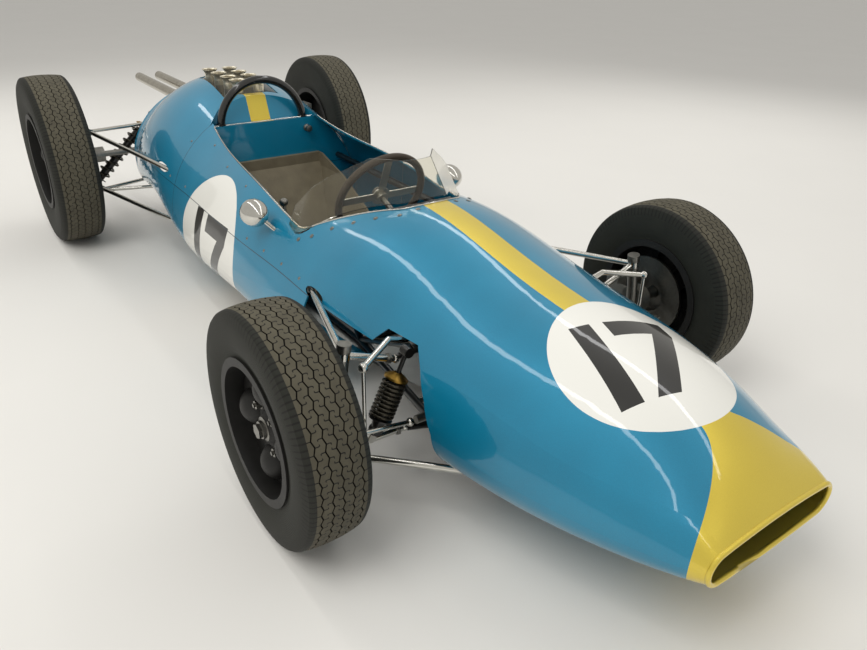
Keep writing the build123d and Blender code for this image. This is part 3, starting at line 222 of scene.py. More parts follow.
def body_paint():
    """Metallic paint under clear lacquer: deep colour, fine flake and sharp reflections.

    The stripe, the gold nose and the number discs are masked and sprayed, so they are part of the paint.
    """
    values = settings()
    material, add, place = start_material("body_paint")
    x, y, z = add("SeparateXYZ", place).node.outputs
    off_centre = add("ABSOLUTE", y)
    # Flake of about 2 mm, coarser than real flake so that it shows, and broad clouds of 180 mm
    flake = add("TexNoise", place, 1 / (2 * MM), 2.0)
    cloud = add("TexNoise", place, 1 / (180 * MM), 2.0)
    mottle = add("ADD", add("MULTIPLY", flake, 0.5), add("MULTIPLY", cloud, 0.5))
    blue = add("Mix", mottle, "#056988", values.blue, data_type="RGBA")
    gold = add("Mix", mottle, "#D5BA3C", values.gold, data_type="RGBA")
    # Stripe along the scuttle and over the deck behind the hoop
    stripe = add("MULTIPLY", add("GREATER_THAN", z, STRIPE_ABOVE),
                 add("LESS_THAN", off_centre, values.stripe_half_width))
    for stretch in UNSTRIPED:
        stripe = add("MULTIPLY", stripe, add("SUBTRACT", 1.0, add("COMPARE", x, *span(*stretch))))
    # Gold nose
    ahead = add("MAXIMUM", add("SUBTRACT", x, GOLD_START), 0.0)
    arc = add("MULTIPLY_ADD", add("MULTIPLY", ahead, ahead), GOLD_BEND, GOLD_HALF_WIDTH)
    nose_right = add("MULTIPLY", add("LESS_THAN", off_centre, arc), add("GREATER_THAN", x, GOLD_START))
    swept = add("MULTIPLY_ADD", off_centre, -GOLD_LEFT_SWEEP, x)
    nose_left = add("MULTIPLY", add("GREATER_THAN", swept, GOLD_LEFT_START), add("GREATER_THAN", y, 0.0))
    gilded = add("MAXIMUM", stripe, add("MAXIMUM", nose_right, nose_left))
    colour = add("Mix", gilded, blue, gold, data_type="RGBA")
    # Nose disc, seen from above, with the number turned a little
    nose_disc = add("MULTIPLY", add("GREATER_THAN", z, NOSE_DISC_ABOVE),
                    disc(add, x, y, NOSE_CENTRE, values.roundel_radius))
    along = add("SUBTRACT", x, NOSE_CENTRE[0])
    cosine, sine = math.cos(NOSE_TURN), math.sin(NOSE_TURN)
    across = add("MULTIPLY_ADD", along, sine, add("MULTIPLY", y, cosine))
    down = add("MULTIPLY_ADD", y, -sine, add("MULTIPLY", along, cosine))
    nose_number = add("MULTIPLY", nose_disc, seventeen(add, across, down))
    # Side discs, seen from the side, each read from its own side
    facing = add("SeparateXYZ", place.node.outputs["Normal"]).node.outputs
    sideways = add("GREATER_THAN", add("MULTIPLY", facing[1], y), SIDEWAYS)
    outside = add("MULTIPLY", sideways, add("GREATER_THAN", off_centre, SIDE_DISC_BEYOND))
    side_disc = add("MULTIPLY", outside, disc(add, x, z, SIDE_CENTRE, values.side_radius))
    reading = add("MULTIPLY", x, add("SIGN", add("MULTIPLY", y, -1.0)))
    reading = add("DIVIDE", add("SUBTRACT", reading, SIDE_NUMBER_START), SIDE_NUMBER_WIDEN)
    fall = add("DIVIDE", add("SUBTRACT", SIDE_NUMBER_HEIGHT, z), SIDE_NUMBER_TALLER)
    side_number = add("MULTIPLY", side_disc, seventeen(add, reading, fall))
    discs = add("MAXIMUM", nose_disc, side_disc)
    colour = add("Mix", discs, colour, values.roundel, data_type="RGBA")
    colour = add("Mix", add("MAXIMUM", nose_number, side_number), colour, values.numeral, data_type="RGBA")
    # Shut lines, darker than the paint
    slope = (SEAM_REAR[1] - SEAM_FRONT[1]) / (SEAM_REAR[0] - SEAM_FRONT[0])
    seam = add("SUBTRACT", z, add("MULTIPLY_ADD", x, slope, SEAM_FRONT[1] - slope * SEAM_FRONT[0]))
    gap = add("MULTIPLY", add("COMPARE", seam, 0.0, SEAM_HALF_WIDTH), add("LESS_THAN", x, SEAM_FRONT[0]))
    gap = add("MAXIMUM", gap, add("COMPARE", x, *span(*DECK_SEAM)))
    colour = add("Mix", gap, colour, "#0E2A38", data_type="RGBA")
    # The gold holds more metal powder than the blue, and the discs and numbers hold none
    metal = add("MULTIPLY", add("SUBTRACT", 1.0, discs), add("MULTIPLY_ADD", gilded, 0.3, 0.35))
    # Orange peel of 12 mm, 0.05 mm high
    peel = add("Bump", Height=add("TexNoise", place, 1 / (12 * MM), 1.0), Distance=0.05 * MM)
    add("OutputMaterial", add("BsdfPrincipled", Base_Color=colour, Metallic=metal, Roughness=0.38,
                              Normal=peel, Coat_Weight=1.0, Coat_Roughness=0.04))
    return material


def clear_sheet():
    """Clear acrylic sheet, yellowed with age: it tints what lies behind it and keeps bright edges."""
    material, add, place = start_material("screen_acrylic")
    haze = add("TexNoise", place, 1 / (90 * MM), 3.0)
    colour = add("Mix", haze, "#F1EEDF", "#F9F7EE", data_type="RGBA")
    add("OutputMaterial", add("BsdfPrincipled", Base_Color=colour, Roughness=0.04, IOR=1.49,
                              Transmission_Weight=1.0))
    return material


# Where the leather of the steering wheel begins, from its centre
GRIP_RADIUS = 0.136


def wheel_grip():
    """Steering wheel: stitched leather on the rim, brushed alloy spokes."""
    low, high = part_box("steering_wheel")
    material, add, place = start_material("wheel_grip")
    far = add("VectorMath", place, (low + high) / 2, operation="DISTANCE")
    on_rim = add("GREATER_THAN", far, GRIP_RADIUS)
    grain = add("TexNoise", place, 1 / (1.5 * MM), 3.0)
    alloy = add("Mix", grain, "#A9A8A2", "#C6C5BF", data_type="RGBA")
    leather = add("Mix", grain, "#2A231C", "#453A2E", data_type="RGBA")
    colour = add("Mix", on_rim, alloy, leather, data_type="RGBA")
    add("OutputMaterial", add("BsdfPrincipled", Base_Color=colour, Metallic=add("SUBTRACT", 1.0, on_rim),
                              Roughness=add("MULTIPLY_ADD", on_rim, 0.2, 0.32),
                              Normal=add("Bump", Height=grain, Distance=0.3 * MM)))
    return material


def radiator_core():
    """Brass core painted matt black: upright tubes 9 mm apart with fine fins."""
    material, add, place = start_material("radiator_core")
    _, y, z = add("SeparateXYZ", place).node.outputs
    tubes = add("SINE", add("MULTIPLY", y, math.tau / (9 * MM)))
    # Fins drawn 4 mm apart, coarser than real ones so that they show
    fins = add("SINE", add("MULTIPLY", z, math.tau / (4 * MM)))
    share = add("MULTIPLY_ADD", add("MULTIPLY", tubes, fins), 0.5, 0.5)
    colour = add("Mix", share, "#0C0C0B", "#33302A", data_type="RGBA")
    add("OutputMaterial", add("BsdfPrincipled", Base_Color=colour, Roughness=0.6, Metallic=0.4,
                              Normal=add("Bump", Height=share, Distance=1.0 * MM)))
    return material


def wire_gauze():
    """Woven brass gauze: bright wires 2 mm apart, coarser than real gauze so that it shows, over gaps that
    are painted shade from the throat below.
    """
    material, add, place = start_material("wire_gauze")
    x, y, _ = add("SeparateXYZ", place).node.outputs
    wires = [add("ABSOLUTE", add("SINE", add("MULTIPLY", axis, math.pi / (2 * MM)))) for axis in (x, y)]
    bright = add("LESS_THAN", add("MINIMUM", *wires), 0.45)
    worn = add("Mix", add("TexNoise", place, 1 / (6 * MM), 3.0), "#9C8650", "#C9B684", data_type="RGBA")
    # Painted shade: the gaps between the wires are near black, for the dark throat seen through them
    colour = add("Mix", bright, "#100E0A", worn, data_type="RGBA")
    add("OutputMaterial", add("BsdfPrincipled", Base_Color=colour, Roughness=0.35, Metallic=bright,
                              Normal=add("Bump", Height=bright, Distance=0.4 * MM)))
    return material


# Height of the trumpets at which the polished part ends
POLISHED_ABOVE = 0.700


def trumpet_metal():
    """Spun intake trumpets: polished and a little tarnished, and grey lower down."""
    material, add, place = start_material("trumpet_metal")
    share = add("TexNoise", place, 1 / (9 * MM), 3.0)
    polished = add("Mix", share, "#D6CBA9", "#F1ECDE", data_type="RGBA")
    below = add("LESS_THAN", add("SeparateXYZ", place).node.outputs[2], POLISHED_ABOVE)
    colour = add("Mix", below, polished, "#C6C0B0", data_type="RGBA")
    add("OutputMaterial", add("BsdfPrincipled", Base_Color=colour, Metallic=0.8,
                              Roughness=add("MapRange", share, To_Min=0.22, To_Max=0.38)))
    return material


def make_materials():
    """Every finish but the tyres, by name."""
    return {
        "paint": body_paint(),
        # Polished plating: bright, with faint wiping marks
        "chrome": finish("polished_chrome", "#C9C8C2", "#E4E2DC", 25 * MM, 0.08, 0.2, Metallic=1.0),
        # Turned steel: duller than plating, with a fine grain
        "steel": finish("turned_steel", "#7D7C78", "#A3A19B", 8 * MM, 0.28, 0.45, Metallic=1.0),
        # Sand cast light alloy: pale, matt, with a grain of about 2 mm
        "cast": finish("cast_alloy", "#8B8B86", "#A9A8A1", 12 * MM, 0.5, 0.7, 0.4 * MM, Metallic=0.85),
        # Stove enamel on the tubes and wheels: black with soft gloss
        "enamel": finish("black_enamel", "#0D0D0C", "#191816", 60 * MM, 0.22, 0.38, Coat_Weight=0.4,
                         Coat_Roughness=0.12),
        # Glossy black on the hoop: deep, with a sharp light along the bend
        "gloss": finish("hoop_lacquer", "#0B0B0A", "#141311", 60 * MM, 0.16, 0.26, Coat_Weight=1.0,
                        Coat_Roughness=0.05),
        # Heat worn plating on the tail pipes: straw brown over grey, duller than the links
        "pipes": finish("tail_pipe_plating", "#8F887A", "#C4BFB2", 30 * MM, 0.14, 0.3, Metallic=1.0),
        # Anodised brass and gilt fittings
        "brass": finish("worn_brass", "#8A6A2C", "#C09B4E", 10 * MM, 0.25, 0.42, Metallic=1.0),
        # Coated fabric on the moulded seat: grey brown, dull, with a leather grain
        "vinyl": finish("seat_vinyl", "#5B5342", "#786F5A", 45 * MM, 0.6, 0.78, 0.5 * MM),
        # Mill finished sheet: silver grey with broad clouding
        "sheet": finish("mill_sheet", "#8E908F", "#B4B6B3", 70 * MM, 0.3, 0.5, Metallic=0.9),
        # Black enamel on the springs, painted a lighter grey brown as a painted sheen along the coils, with a
        # grain of 12 mm
        "spring": finish("spring_enamel_painted_sheen", "#2B2923", "#5B574C", 12 * MM, 0.2, 0.35, Metallic=0.8),
        # Baked satin black on the cast wheels: matt, near black
        "satin": finish("satin_black", "#0E0E0D", "#1B1A18", 30 * MM, 0.48, 0.62),
        "acrylic": clear_sheet(),
        "grip": wheel_grip(),
        "core": radiator_core(),
        "gauze": wire_gauze(),
        "trumpet": trumpet_metal(),
        # Printed gauge face: satin black with a fine speckle
        "dial": finish("dial_face", "#0B0B0B", "#161616", 3 * MM, 0.35, 0.5),
        # White printing on the gauges
        "print": finish("gauge_print", "#D9D7CF", "#EFEDE6", 5 * MM, 0.5, 0.6),
        # Silvered mirror glass
        "mirror": finish("mirror_glass", "#E6E8E8", "#F2F3F3", 30 * MM, 0.02, 0.05, Metallic=1.0),
    }


FINISHES = {}
NODE_FINISH = {
    "paint": ["body_top", "engine_cover", "side_panels", "rear_bulkhead"],
    "trumpet": ["intake_trumpets"],
    "chrome": ["front_wishbones", "anti_roll_bar", "rear_links",
               "radius_rods", "mirrors", "track_rod_left", "track_rod_right"],
    "steel": ["steering_column", "rack_bar", "gear_lever", "pedals", "brake_disc_left",
              "brake_disc_right", "half_shaft_left", "half_shaft_right", "front_upright_left",
              "front_upright_right"],
    "cast": ["engine", "gearbox", "rack_housing", "rear_uprights", "front_caliper_left",
             "front_caliper_right"],
    "gloss": ["roll_hoop"],
    "pipes": ["exhausts"],
    "enamel": ["space_frame", "instrument_panel", "front_dampers", "rear_dampers"],
    "satin": ["rim_front_left", "rim_front_right", "rim_rear_left", "rim_rear_right"],
    "vinyl": ["seat"],
    "sheet": ["floor_pan"],
    "acrylic": ["windscreen"],
    "grip": ["steering_wheel"],
    "core": ["radiator"],
}


# Mesh helpers

def turn_to(direction):
    """Rotation that takes +Z to the direction."""
    return Vector(direction).to_track_quat("Z", "Y").to_matrix().to_4x4()


def lift(height):
    """Move up the Z axis."""
    return Matrix.Translation((0, 0, height))


def stand(spot, direction):
    """Place at a spot, its Z axis along the direction."""
    return Matrix.Translation(spot) @ turn_to(direction)


def add_rod(bm, start, end, radius, segments=20):
    """A closed round rod between two points."""
    start, end = Vector(start), Vector(end)
    bmesh.ops.create_cone(bm, cap_ends=True, segments=segments, radius1=radius, radius2=radius,
                          depth=(end - start).length, matrix=stand((start + end) / 2, end - start))


def add_turned(bm, place, profile, steps=32):
    """A turned form about the place's Z axis, from a profile of (radius, height)."""
    before = set(bm.verts)
    verts = [bm.verts.new((radius, 0.0, height)) for radius, height in profile]
    edges = [bm.edges.new(pair) for pair in zip(verts, verts[1:])]
    bmesh.ops.spin(bm, geom=verts + edges, cent=(0, 0, 0), axis=(0, 0, 1), dvec=(0, 0, 0),
                   angle=math.tau, steps=steps, use_merge=True)
    bmesh.ops.transform(bm, matrix=place, verts=[v for v in bm.verts if v not in before])


def add_tube(bm, points, radius, segments=8):
    """A round tube along a line of points, with its ends closed."""
    points = [Vector(point) for point in points]
    rings = []
    for k, point in enumerate(points):
        along = points[min(k + 1, len(points) - 1)] - points[max(k - 1, 0)]
        circle = bmesh.ops.create_circle(bm, segments=segments, radius=radius,
                                         matrix=stand(point, along))
        rings.append(circle["verts"])
    for low, high in zip(rings, rings[1:]):
        start = min(range(segments), key=lambda n: (high[n].co - low[0].co).length)
        for n in range(segments):
            bm.faces.new((low[n], low[(n + 1) % segments], high[(start + n + 1) % segments],
                          high[(start + n) % segments]))
    bm.faces.new(rings[0])
    bm.faces.new(rings[-1])


def add_hexagon(bm, place, across_flats, height):
    """A hexagon nut or bolt head standing on the place."""
    radius = across_flats / math.sqrt(3)
    bmesh.ops.create_cone(bm, cap_ends=True, segments=6, radius1=radius, radius2=radius, depth=height,
                          matrix=place @ lift(height / 2))


def add_washer(bm, place, radius, height, steps):
    """A flat round washer or plate standing on the place."""
    add_turned(bm, place, [(0.0, height), (radius, height), (radius, 0.0), (0.0, 0.0)], steps)


def add_bolt(bm, place, washer_radius, thickness, steps, across_flats, height):
    """A bolt head on a washer, where there is a place for it."""
    if place:
        add_washer(bm, place, washer_radius, thickness, steps)
        add_hexagon(bm, place @ lift(thickness), across_flats, height)


def add_dome(bm, place, radius):
    """A low domed screw head standing on the place."""
    profile = [(0.0, radius * 0.45), (radius * 0.6, radius * 0.36), (radius, 0.0), (0.0, 0.0)]
    add_turned(bm, place, profile, 10)


def make_piece(name, bm, finish_name, body, sharp=30.0):
    """Turns the bmesh into a finished piece that rides on a body."""
    bmesh.ops.remove_doubles(bm, verts=bm.verts, dist=1e-6)
    bmesh.ops.recalc_face_normals(bm, faces=bm.faces)
    for face in bm.faces:
        face.smooth = True
    for edge in bm.edges:
        edge.smooth = edge.is_manifold and edge.calc_face_angle(0.0) < math.radians(sharp)
    mesh = bpy.data.meshes.new(name)
    bm.to_mesh(mesh)
    bm.free()
    piece = bpy.data.objects.new(name, mesh)
    bpy.context.scene.collection.objects.link(piece)
    mesh.materials.append(FINISHES[finish_name])
    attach(piece, body)
    return piece


# Tyres

# Part of the half width that the tread takes, and the part that has met the road
TREAD_SHARE = 0.80
WORN_SHARE = 0.735
# How far the treaded tyre stays inside the plain one
TYRE_GAP = 0.2 * MM
# How much lower the tread is at its edge than in its middle
CROWN_DROP = 0.006
# Width of the rounded shoulder beside the tread, and depth below which a groove's wall gets painted shade
SHOULDER_STEP = 0.004
SHADE_DEPTH = 0.0012
# Swing of the zigzag as a part of the grooves' pitch, and that pitch on a tread of the width given
ZIGZAG = 0.11
BASE_TREAD = 0.127
BASE_PITCH = 0.0237
# Hooked cuts in the ribs: straight part, radius of the curl, and width
HOOK_STEM = 0.0068
HOOK_RADIUS = 0.0048
CUT_WIDTH = 0.0023
# Slits over the shoulders: the part of a zigzag that they take up
SLIT = (0.462, 0.538)
# Ribs on the upper wall: half of what each takes of its pitch, and how far below the tread they start and end
RIB_HALF_SHARE = 0.36
RIB_DEPTHS = (0.034, 0.004)
# A moulding line under the ribs, and below it fine rings about 4 mm apart, by their depth below the tread
LINE_DEPTHS = (0.041, 0.038)
RING_DEPTH = 0.044
RING_RATE = 1500.0
RING_HEIGHT = 0.12


def groove_pitch(width):
    """Distance between grooves on a tyre of the given width."""
    return BASE_PITCH * width * TREAD_SHARE / BASE_TREAD


def through(a, b, c, steps):
    """Points along the arc from a through b to c, in the plane, without a."""
    (ax, ay), (bx, by), (cx, cy) = a, b, c
    d = 2 * (ax * (by - cy) + bx * (cy - ay) + cx * (ay - by))
    ux = ((ax ** 2 + ay ** 2) * (by - cy) + (bx ** 2 + by ** 2) * (cy - ay)
          + (cx ** 2 + cy ** 2) * (ay - by)) / d
    uy = ((ax ** 2 + ay ** 2) * (cx - bx) + (bx ** 2 + by ** 2) * (ax - cx)
          + (cx ** 2 + cy ** 2) * (bx - ax)) / d
    radius = math.hypot(ax - ux, ay - uy)
    first = math.atan2(ay - uy, ax - ux)
    middle = (math.atan2(by - uy, bx - ux) - first) % math.tau
    sweep = (math.atan2(cy - uy, cx - ux) - first) % math.tau
    if middle > sweep:
        sweep -= math.tau
    angles = [first + sweep * k / steps for k in range(1, steps + 1)]
    return [(ux + radius * math.cos(t), uy + radius * math.sin(t)) for t in angles]


def tyre_outline(radius, width, rim_radius, rim_width):
    """Section of a tyre as (offset, radius, zigzags), from one bead over the tread to the other."""
    values = settings()
    half = width / 2
    tread = half * TREAD_SHARE
    seat = rim_width / 2 - 0.006
    pitch = groove_pitch(width)
    middle = (values.groove_count - 1) / 2

    def crown(offset, depth=0.0):
        """Radius of the tread at an offset from its middle."""
        return radius - CROWN_DROP * (offset / tread) ** 2 - depth

    grooves = []
    for k in range(values.groove_count):
        centre = (k - middle) * pitch
        for shift, depth in ((-0.5, 0.0), (-0.38, values.groove_depth), (0.38, values.groove_depth),
                             (0.5, 0.0)):
            offset = centre + shift * values.groove_width
            grooves.append((offset, crown(offset, depth), True))
    # The shoulder, the round wall down to the rim, and the bead inside it
    wall = [(tread, crown(tread)), (tread + SHOULDER_STEP, crown(tread, 0.0012)),
            (tread + 0.009, radius - 0.0115), (half - 0.003, radius - 0.024)]
    wall += through(wall[-1], (half - 0.0004, (radius + rim_radius) / 2), (seat, rim_radius + 0.006), 10)
    wall.append((seat, rim_radius - 0.013))
    right = [(offset, reach, False) for offset, reach in wall]
    left = [(-offset, reach, False) for offset, reach in reversed(wall)]
    return left + grooves + right


def tyre_rubber(name, centre, radius, width, turns):
    """Treaded rubber: matt, grey brown where it has met the road, darker on the walls, with painted shade in
    the grooves, in the cuts and between the ribs.
    """
    values = settings()
    material, add, place = start_material(name)
    local = add("VectorMath", place, centre, operation="SUBTRACT")
    x, y, z = add("SeparateXYZ", local).node.outputs
    reach = add("SQRT", add("ADD", add("MULTIPLY", x, x), add("MULTIPLY", z, z)))
    around = add("MULTIPLY", add("ARCTAN2", z, x), turns / math.tau)
    phase = add("FRACT", around)
    pitch = groove_pitch(width)
    swing = ZIGZAG * pitch
    ripple = add("MULTIPLY_ADD", add("ABSOLUTE", add("SUBTRACT", phase, 0.5)), 4 * swing, -swing)
    odd = 0.5 if values.groove_count % 2 == 0 else 0.0
    lane = add("ADD", add("DIVIDE", add("SUBTRACT", y, ripple), pitch), odd)
    in_rib = add("SUBTRACT", add("FRACT", lane), 0.5)
    # Hooked cuts, one from each corner of a groove into the rib beside it, curling to halfway across.
    # The two halves of a rib are the same turned half round, and the two middle ribs curl the other way.
    side = add("SIGN", in_rib)
    off_centre = add("ABSOLUTE", y)
    inward = add("MULTIPLY", add("SUBTRACT", 0.5, add("ABSOLUTE", in_rib)), pitch)
    corner = add("MULTIPLY_ADD", side, 0.25, 0.25)
    beyond = add("FRACT", add("ADD", add("SUBTRACT", phase, corner), 0.5))
    beyond = add("MULTIPLY", add("SUBTRACT", beyond, 0.5), math.tau * radius / turns)
    outer_rib = add("SIGN", add("SUBTRACT", off_centre, pitch))
    curl = add("MULTIPLY", add("MULTIPLY", beyond, add("MULTIPLY", side, outer_rib)), -1.0)
    stem = add("MULTIPLY", add("LESS_THAN", inward, HOOK_STEM), add("COMPARE", curl, 0.0, CUT_WIDTH / 2))
    from_stem = add("SUBTRACT", inward, HOOK_STEM)
    from_axis = add("SUBTRACT", curl, HOOK_RADIUS)
    round_hook = add("SQRT", add("ADD", add("MULTIPLY", from_stem, from_stem),
                                 add("MULTIPLY", from_axis, from_axis)))
    bend = add("COMPARE", round_hook, HOOK_RADIUS, CUT_WIDTH / 2)
    bend = add("MULTIPLY", bend, add("GREATER_THAN", from_stem, 0.0))
    bend = add("MULTIPLY", bend, add("LESS_THAN", from_axis, 0.0))
    edge_lane = pitch * (values.groove_count - 1) / 2 + swing
    cut = add("MULTIPLY", add("MAXIMUM", stem, bend), add("LESS_THAN", off_centre, edge_lane))
    # Slits from the outer grooves over the shoulders
    outward = add("MULTIPLY", add("SIGN", y), 0.25)
    turned = add("FRACT", add("ADD", add("ADD", around, outward), 0.25))
    tread_edge = width / 2 * TREAD_SHARE
    shoulder = add("MULTIPLY", add("COMPARE", turned, *span(*SLIT)),
                   add("COMPARE", off_centre, *span(edge_lane, tread_edge + SHOULDER_STEP)))
    # The cuts and slits are unworn rubber, and they are painted darker still as painted shade in them
    marks = add("MAXIMUM", cut, shoulder)
    crown = add("MULTIPLY_ADD", add("MULTIPLY", y, y), -CROWN_DROP / tread_edge ** 2, radius)
    # Painted shade down in the grooves, below their rim
    sunk = add("LESS_THAN", reach, add("SUBTRACT", crown, SHADE_DEPTH))
    groove = add("MULTIPLY", sunk, add("LESS_THAN", off_centre, edge_lane + SHOULDER_STEP))
    worn = add("TexNoise", place, 1 / (40 * MM), 4.0)
    top = add("Mix", worn, "#3C382C", "#5A5545", data_type="RGBA")
    wall = add("Mix", worn, "#181914", "#25261F", data_type="RGBA")
    colour = add("Mix", add("LESS_THAN", off_centre, width / 2 * WORN_SHARE), wall, top, data_type="RGBA")
    # Ribs on the upper wall, two to a zigzag, with painted shade between them, a moulding line under them and
    # fine rings below that
    ribs = add("COMPARE", add("FRACT", add("MULTIPLY", around, 2.0)), 0.5, RIB_HALF_SHARE)
    rib_foot, rib_top = RIB_DEPTHS
    upper_wall = add("MULTIPLY", add("COMPARE", reach, *span(radius - rib_foot, radius - rib_top)),
                     add("GREATER_THAN", off_centre, width / 2 * WORN_SHARE))
    between_ribs = add("MULTIPLY", add("SUBTRACT", 1.0, ribs), upper_wall)
    # Painted shade: near black in the cuts, slits and grooves and between the ribs, darker than unworn rubber
    dark = add("MAXIMUM", marks, add("MAXIMUM", groove, between_ribs))
    colour = add("Mix", dark, colour, "#12110D", data_type="RGBA")
    line_foot, line_top = LINE_DEPTHS
    line = add("COMPARE", reach, *span(radius - line_foot, radius - line_top))
    rings = add("MULTIPLY", add("SINE", add("MULTIPLY", reach, RING_RATE)), RING_HEIGHT)
    rings = add("MULTIPLY", rings, add("COMPARE", reach, *span(0.0, radius - RING_DEPTH)))
    height = add("SUBTRACT", add("ADD", line, rings), add("MAXIMUM", marks, between_ribs))
    # Grain of 1.2 mm
    height = add("ADD", height, add("MULTIPLY", add("TexNoise", place, 1 / (1.2 * MM), 3.0), 0.15))
    add("OutputMaterial", add("BsdfPrincipled", Base_Color=colour, Roughness=0.75,
                              Normal=add("Bump", Height=height, Distance=1.2 * MM)))
    return material


def make_tyre(corner):
    """One tyre with its zigzag grooves cut, in place of the plain one."""
    values = settings()
    low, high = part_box("tyre_" + corner)
    rim_low, rim_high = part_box("rim_" + corner)
    centre = (low + high) / 2
    radius = (high.z - low.z) / 2 - TYRE_GAP
    width = high.y - low.y - 2 * TYRE_GAP
    turns = round(math.tau * radius / values.tread_pitch)
    outline = tyre_outline(radius, width, (rim_high.z - rim_low.z) / 2, rim_high.y - rim_low.y)
    bm = bmesh.new()
    verts = [bm.verts.new((reach, offset, 0.0)) for offset, reach, _ in outline]
    edges = [bm.edges.new(pair) for pair in zip(verts, verts[1:] + verts[:1])]
    bmesh.ops.spin(bm, geom=verts + edges, cent=(0, 0, 0), axis=(0, 1, 0), dvec=(0, 0, 0),
                   angle=math.tau, steps=2 * turns, use_merge=True)
    zigzagged = [offset for offset, _, swings in outline if swings]
    swing = ZIGZAG * groove_pitch(width)
    inner = radius - CROWN_DROP - values.groove_depth - 0.001
    for vert in bm.verts:
        if abs(vert.co.y) <= max(zigzagged) + 1e-5 and math.hypot(vert.co.x, vert.co.z) > inner:
            step = round(math.atan2(vert.co.z, vert.co.x) / math.tau * 2 * turns)
            vert.co.y += swing if step % 2 == 0 else -swing
    bmesh.ops.translate(bm, verts=bm.verts, vec=centre)
    FINISHES["rubber_" + corner] = tyre_rubber("tyre_rubber_" + corner, centre, radius, width, turns)
    piece = make_piece("treaded_tyre_" + corner, bm, "rubber_" + corner, "wheel_" + corner, 28.0)
    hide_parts("tyre_" + corner)


# Springs and dampers

# Foot and head of the left unit on each axle
DAMPERS = {
    "front": ((1.182, 0.432, 0.190), (1.182, 0.340, 0.385)),
    "rear": ((-1.215, 0.530, 0.215), (-1.215, 0.222, 0.506)),
}
SPRING_RADIUS = 0.027
SPRING_WIRE = 0.0046
# Where the spring's ends stand, from the unit's foot and from its head
SPRING_FOOT = 0.034
SPRING_HEAD = 0.075
# Eye at each end of a damper, and how far it reaches to each side
EYE_RADIUS = 0.0135
EYE_REACH = Vector((0.013, 0, 0))


def add_spring(bm, place, length, turns):
    """A coil spring up the place's Z axis."""
    steps_per_turn = 24
    before = set(bm.verts)
    bmesh.ops.create_circle(bm, segments=8, radius=SPRING_WIRE,
                            matrix=Matrix.Translation((SPRING_RADIUS, 0, SPRING_WIRE))
                                   @ Matrix.Rotation(math.pi / 2, 4, "X"))
    ring = [v for v in bm.verts if v not in before]
    ring_edges = list({e for v in ring for e in v.link_edges})
    steps = steps_per_turn * turns
    climb = (length - 2 * SPRING_WIRE) / steps
    bmesh.ops.spin(bm, geom=ring + ring_edges, cent=(0, 0, 0), axis=(0, 0, 1), dvec=(0, 0, climb),
                   angle=math.tau * turns, steps=steps, use_merge=False)
    made = [v for v in bm.verts if v not in before]
    ends = [e for v in made for e in v.link_edges if e.is_boundary]
    bmesh.ops.holes_fill(bm, edges=list(set(ends)), sides=10)
    bmesh.ops.transform(bm, matrix=place, verts=made)


def make_dampers(axle):
    """Coil springs, damper bodies, rods, seats and collars of one axle."""
    turns = settings().coil_turns
    spring, body, collar = bmesh.new(), bmesh.new(), bmesh.new()
    for side in (1, -1):
        foot, head = [Vector((x, side * y, z)) for x, y, z in DAMPERS[axle]]
        length = (head - foot).length
        top = length - SPRING_HEAD
        place = stand(foot, head - foot)
        add_spring(spring, place @ lift(SPRING_FOOT), top - SPRING_FOOT, turns)
        # The damper's body and rod, the seat under the spring and the collar over it
        add_turned(body, place, [(0.0, 0.006), (0.013, 0.008), (0.017, 0.018), (0.017, length - 0.092),
                                 (0.014, length - 0.088), (0.006, length - 0.088), (0.006, length - 0.010),
                                 (0.0, length - 0.010)])
        add_turned(body, place, [(0.016, SPRING_FOOT - 0.006), (0.031, SPRING_FOOT - 0.004),
                                 (0.031, SPRING_FOOT), (0.016, SPRING_FOOT), (0.016, SPRING_FOOT - 0.006)])
        for end in (foot, head):
            add_rod(body, end - EYE_REACH, end + EYE_REACH, EYE_RADIUS)
        add_turned(collar, place, [(0.010, top), (0.031, top), (0.031, top + 0.005), (0.022, top + 0.012),
                                   (0.010, top + 0.018), (0.010, top)])
    unit = make_piece(axle + "_damper_bodies", body, "enamel", "chassis")
    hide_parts(axle + "_dampers")
    make_piece(axle + "_springs", spring, "spring", "chassis", 60.0)
    make_piece(axle + "_spring_collars", collar, "brass", "chassis")


# Wheels

# Hub and studs of a wheel: how far out from the rim's middle they stand, and the circle of the studs
HUB_OUT = 0.044
STUD_OUT = 0.0305
STUD_CIRCLE = 0.058


def make_wheel_fittings(corner):
    """Hub cap, centre nut and wheel studs of one wheel."""
    low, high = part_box("rim_" + corner)
    centre = (low + high) / 2
    side = 1 if centre.y > 0 else -1
    outward = Vector((0, side, 0))
    place = stand(centre + outward * HUB_OUT, outward)
    bm = bmesh.new()
    add_turned(bm, place, [(0.0, -0.004), (0.029, -0.004), (0.029, 0.002), (0.022, 0.004), (0.021, 0.011),
                           (0.0, 0.013)])
    add_hexagon(bm, place @ lift(0.004), 0.032, 0.016)
    for k in range(4):
        angle = math.tau * (k + 0.5) / 4
        spot = Vector((STUD_CIRCLE * math.cos(angle), side * STUD_OUT, STUD_CIRCLE * math.sin(angle)))
        stud = stand(centre + spot, outward)
        add_bolt(bm, stud, 0.014, 0.003, 18, 0.019, 0.012)
        add_rod(bm, stud @ Vector((0, 0, 0.012)), stud @ Vector((0, 0, 0.020)), 0.005, segments=12)
    make_piece("wheel_nuts_" + corner, bm, "steel", "wheel_" + corner)


# Body fittings

def surface_tree(node):
    """Search tree over a CAD node's surface."""
    mesh = frame["nodes"][node].data
    return BVHTree.FromPolygons([v.co for v in mesh.vertices], [p.vertices for p in mesh.polygons])


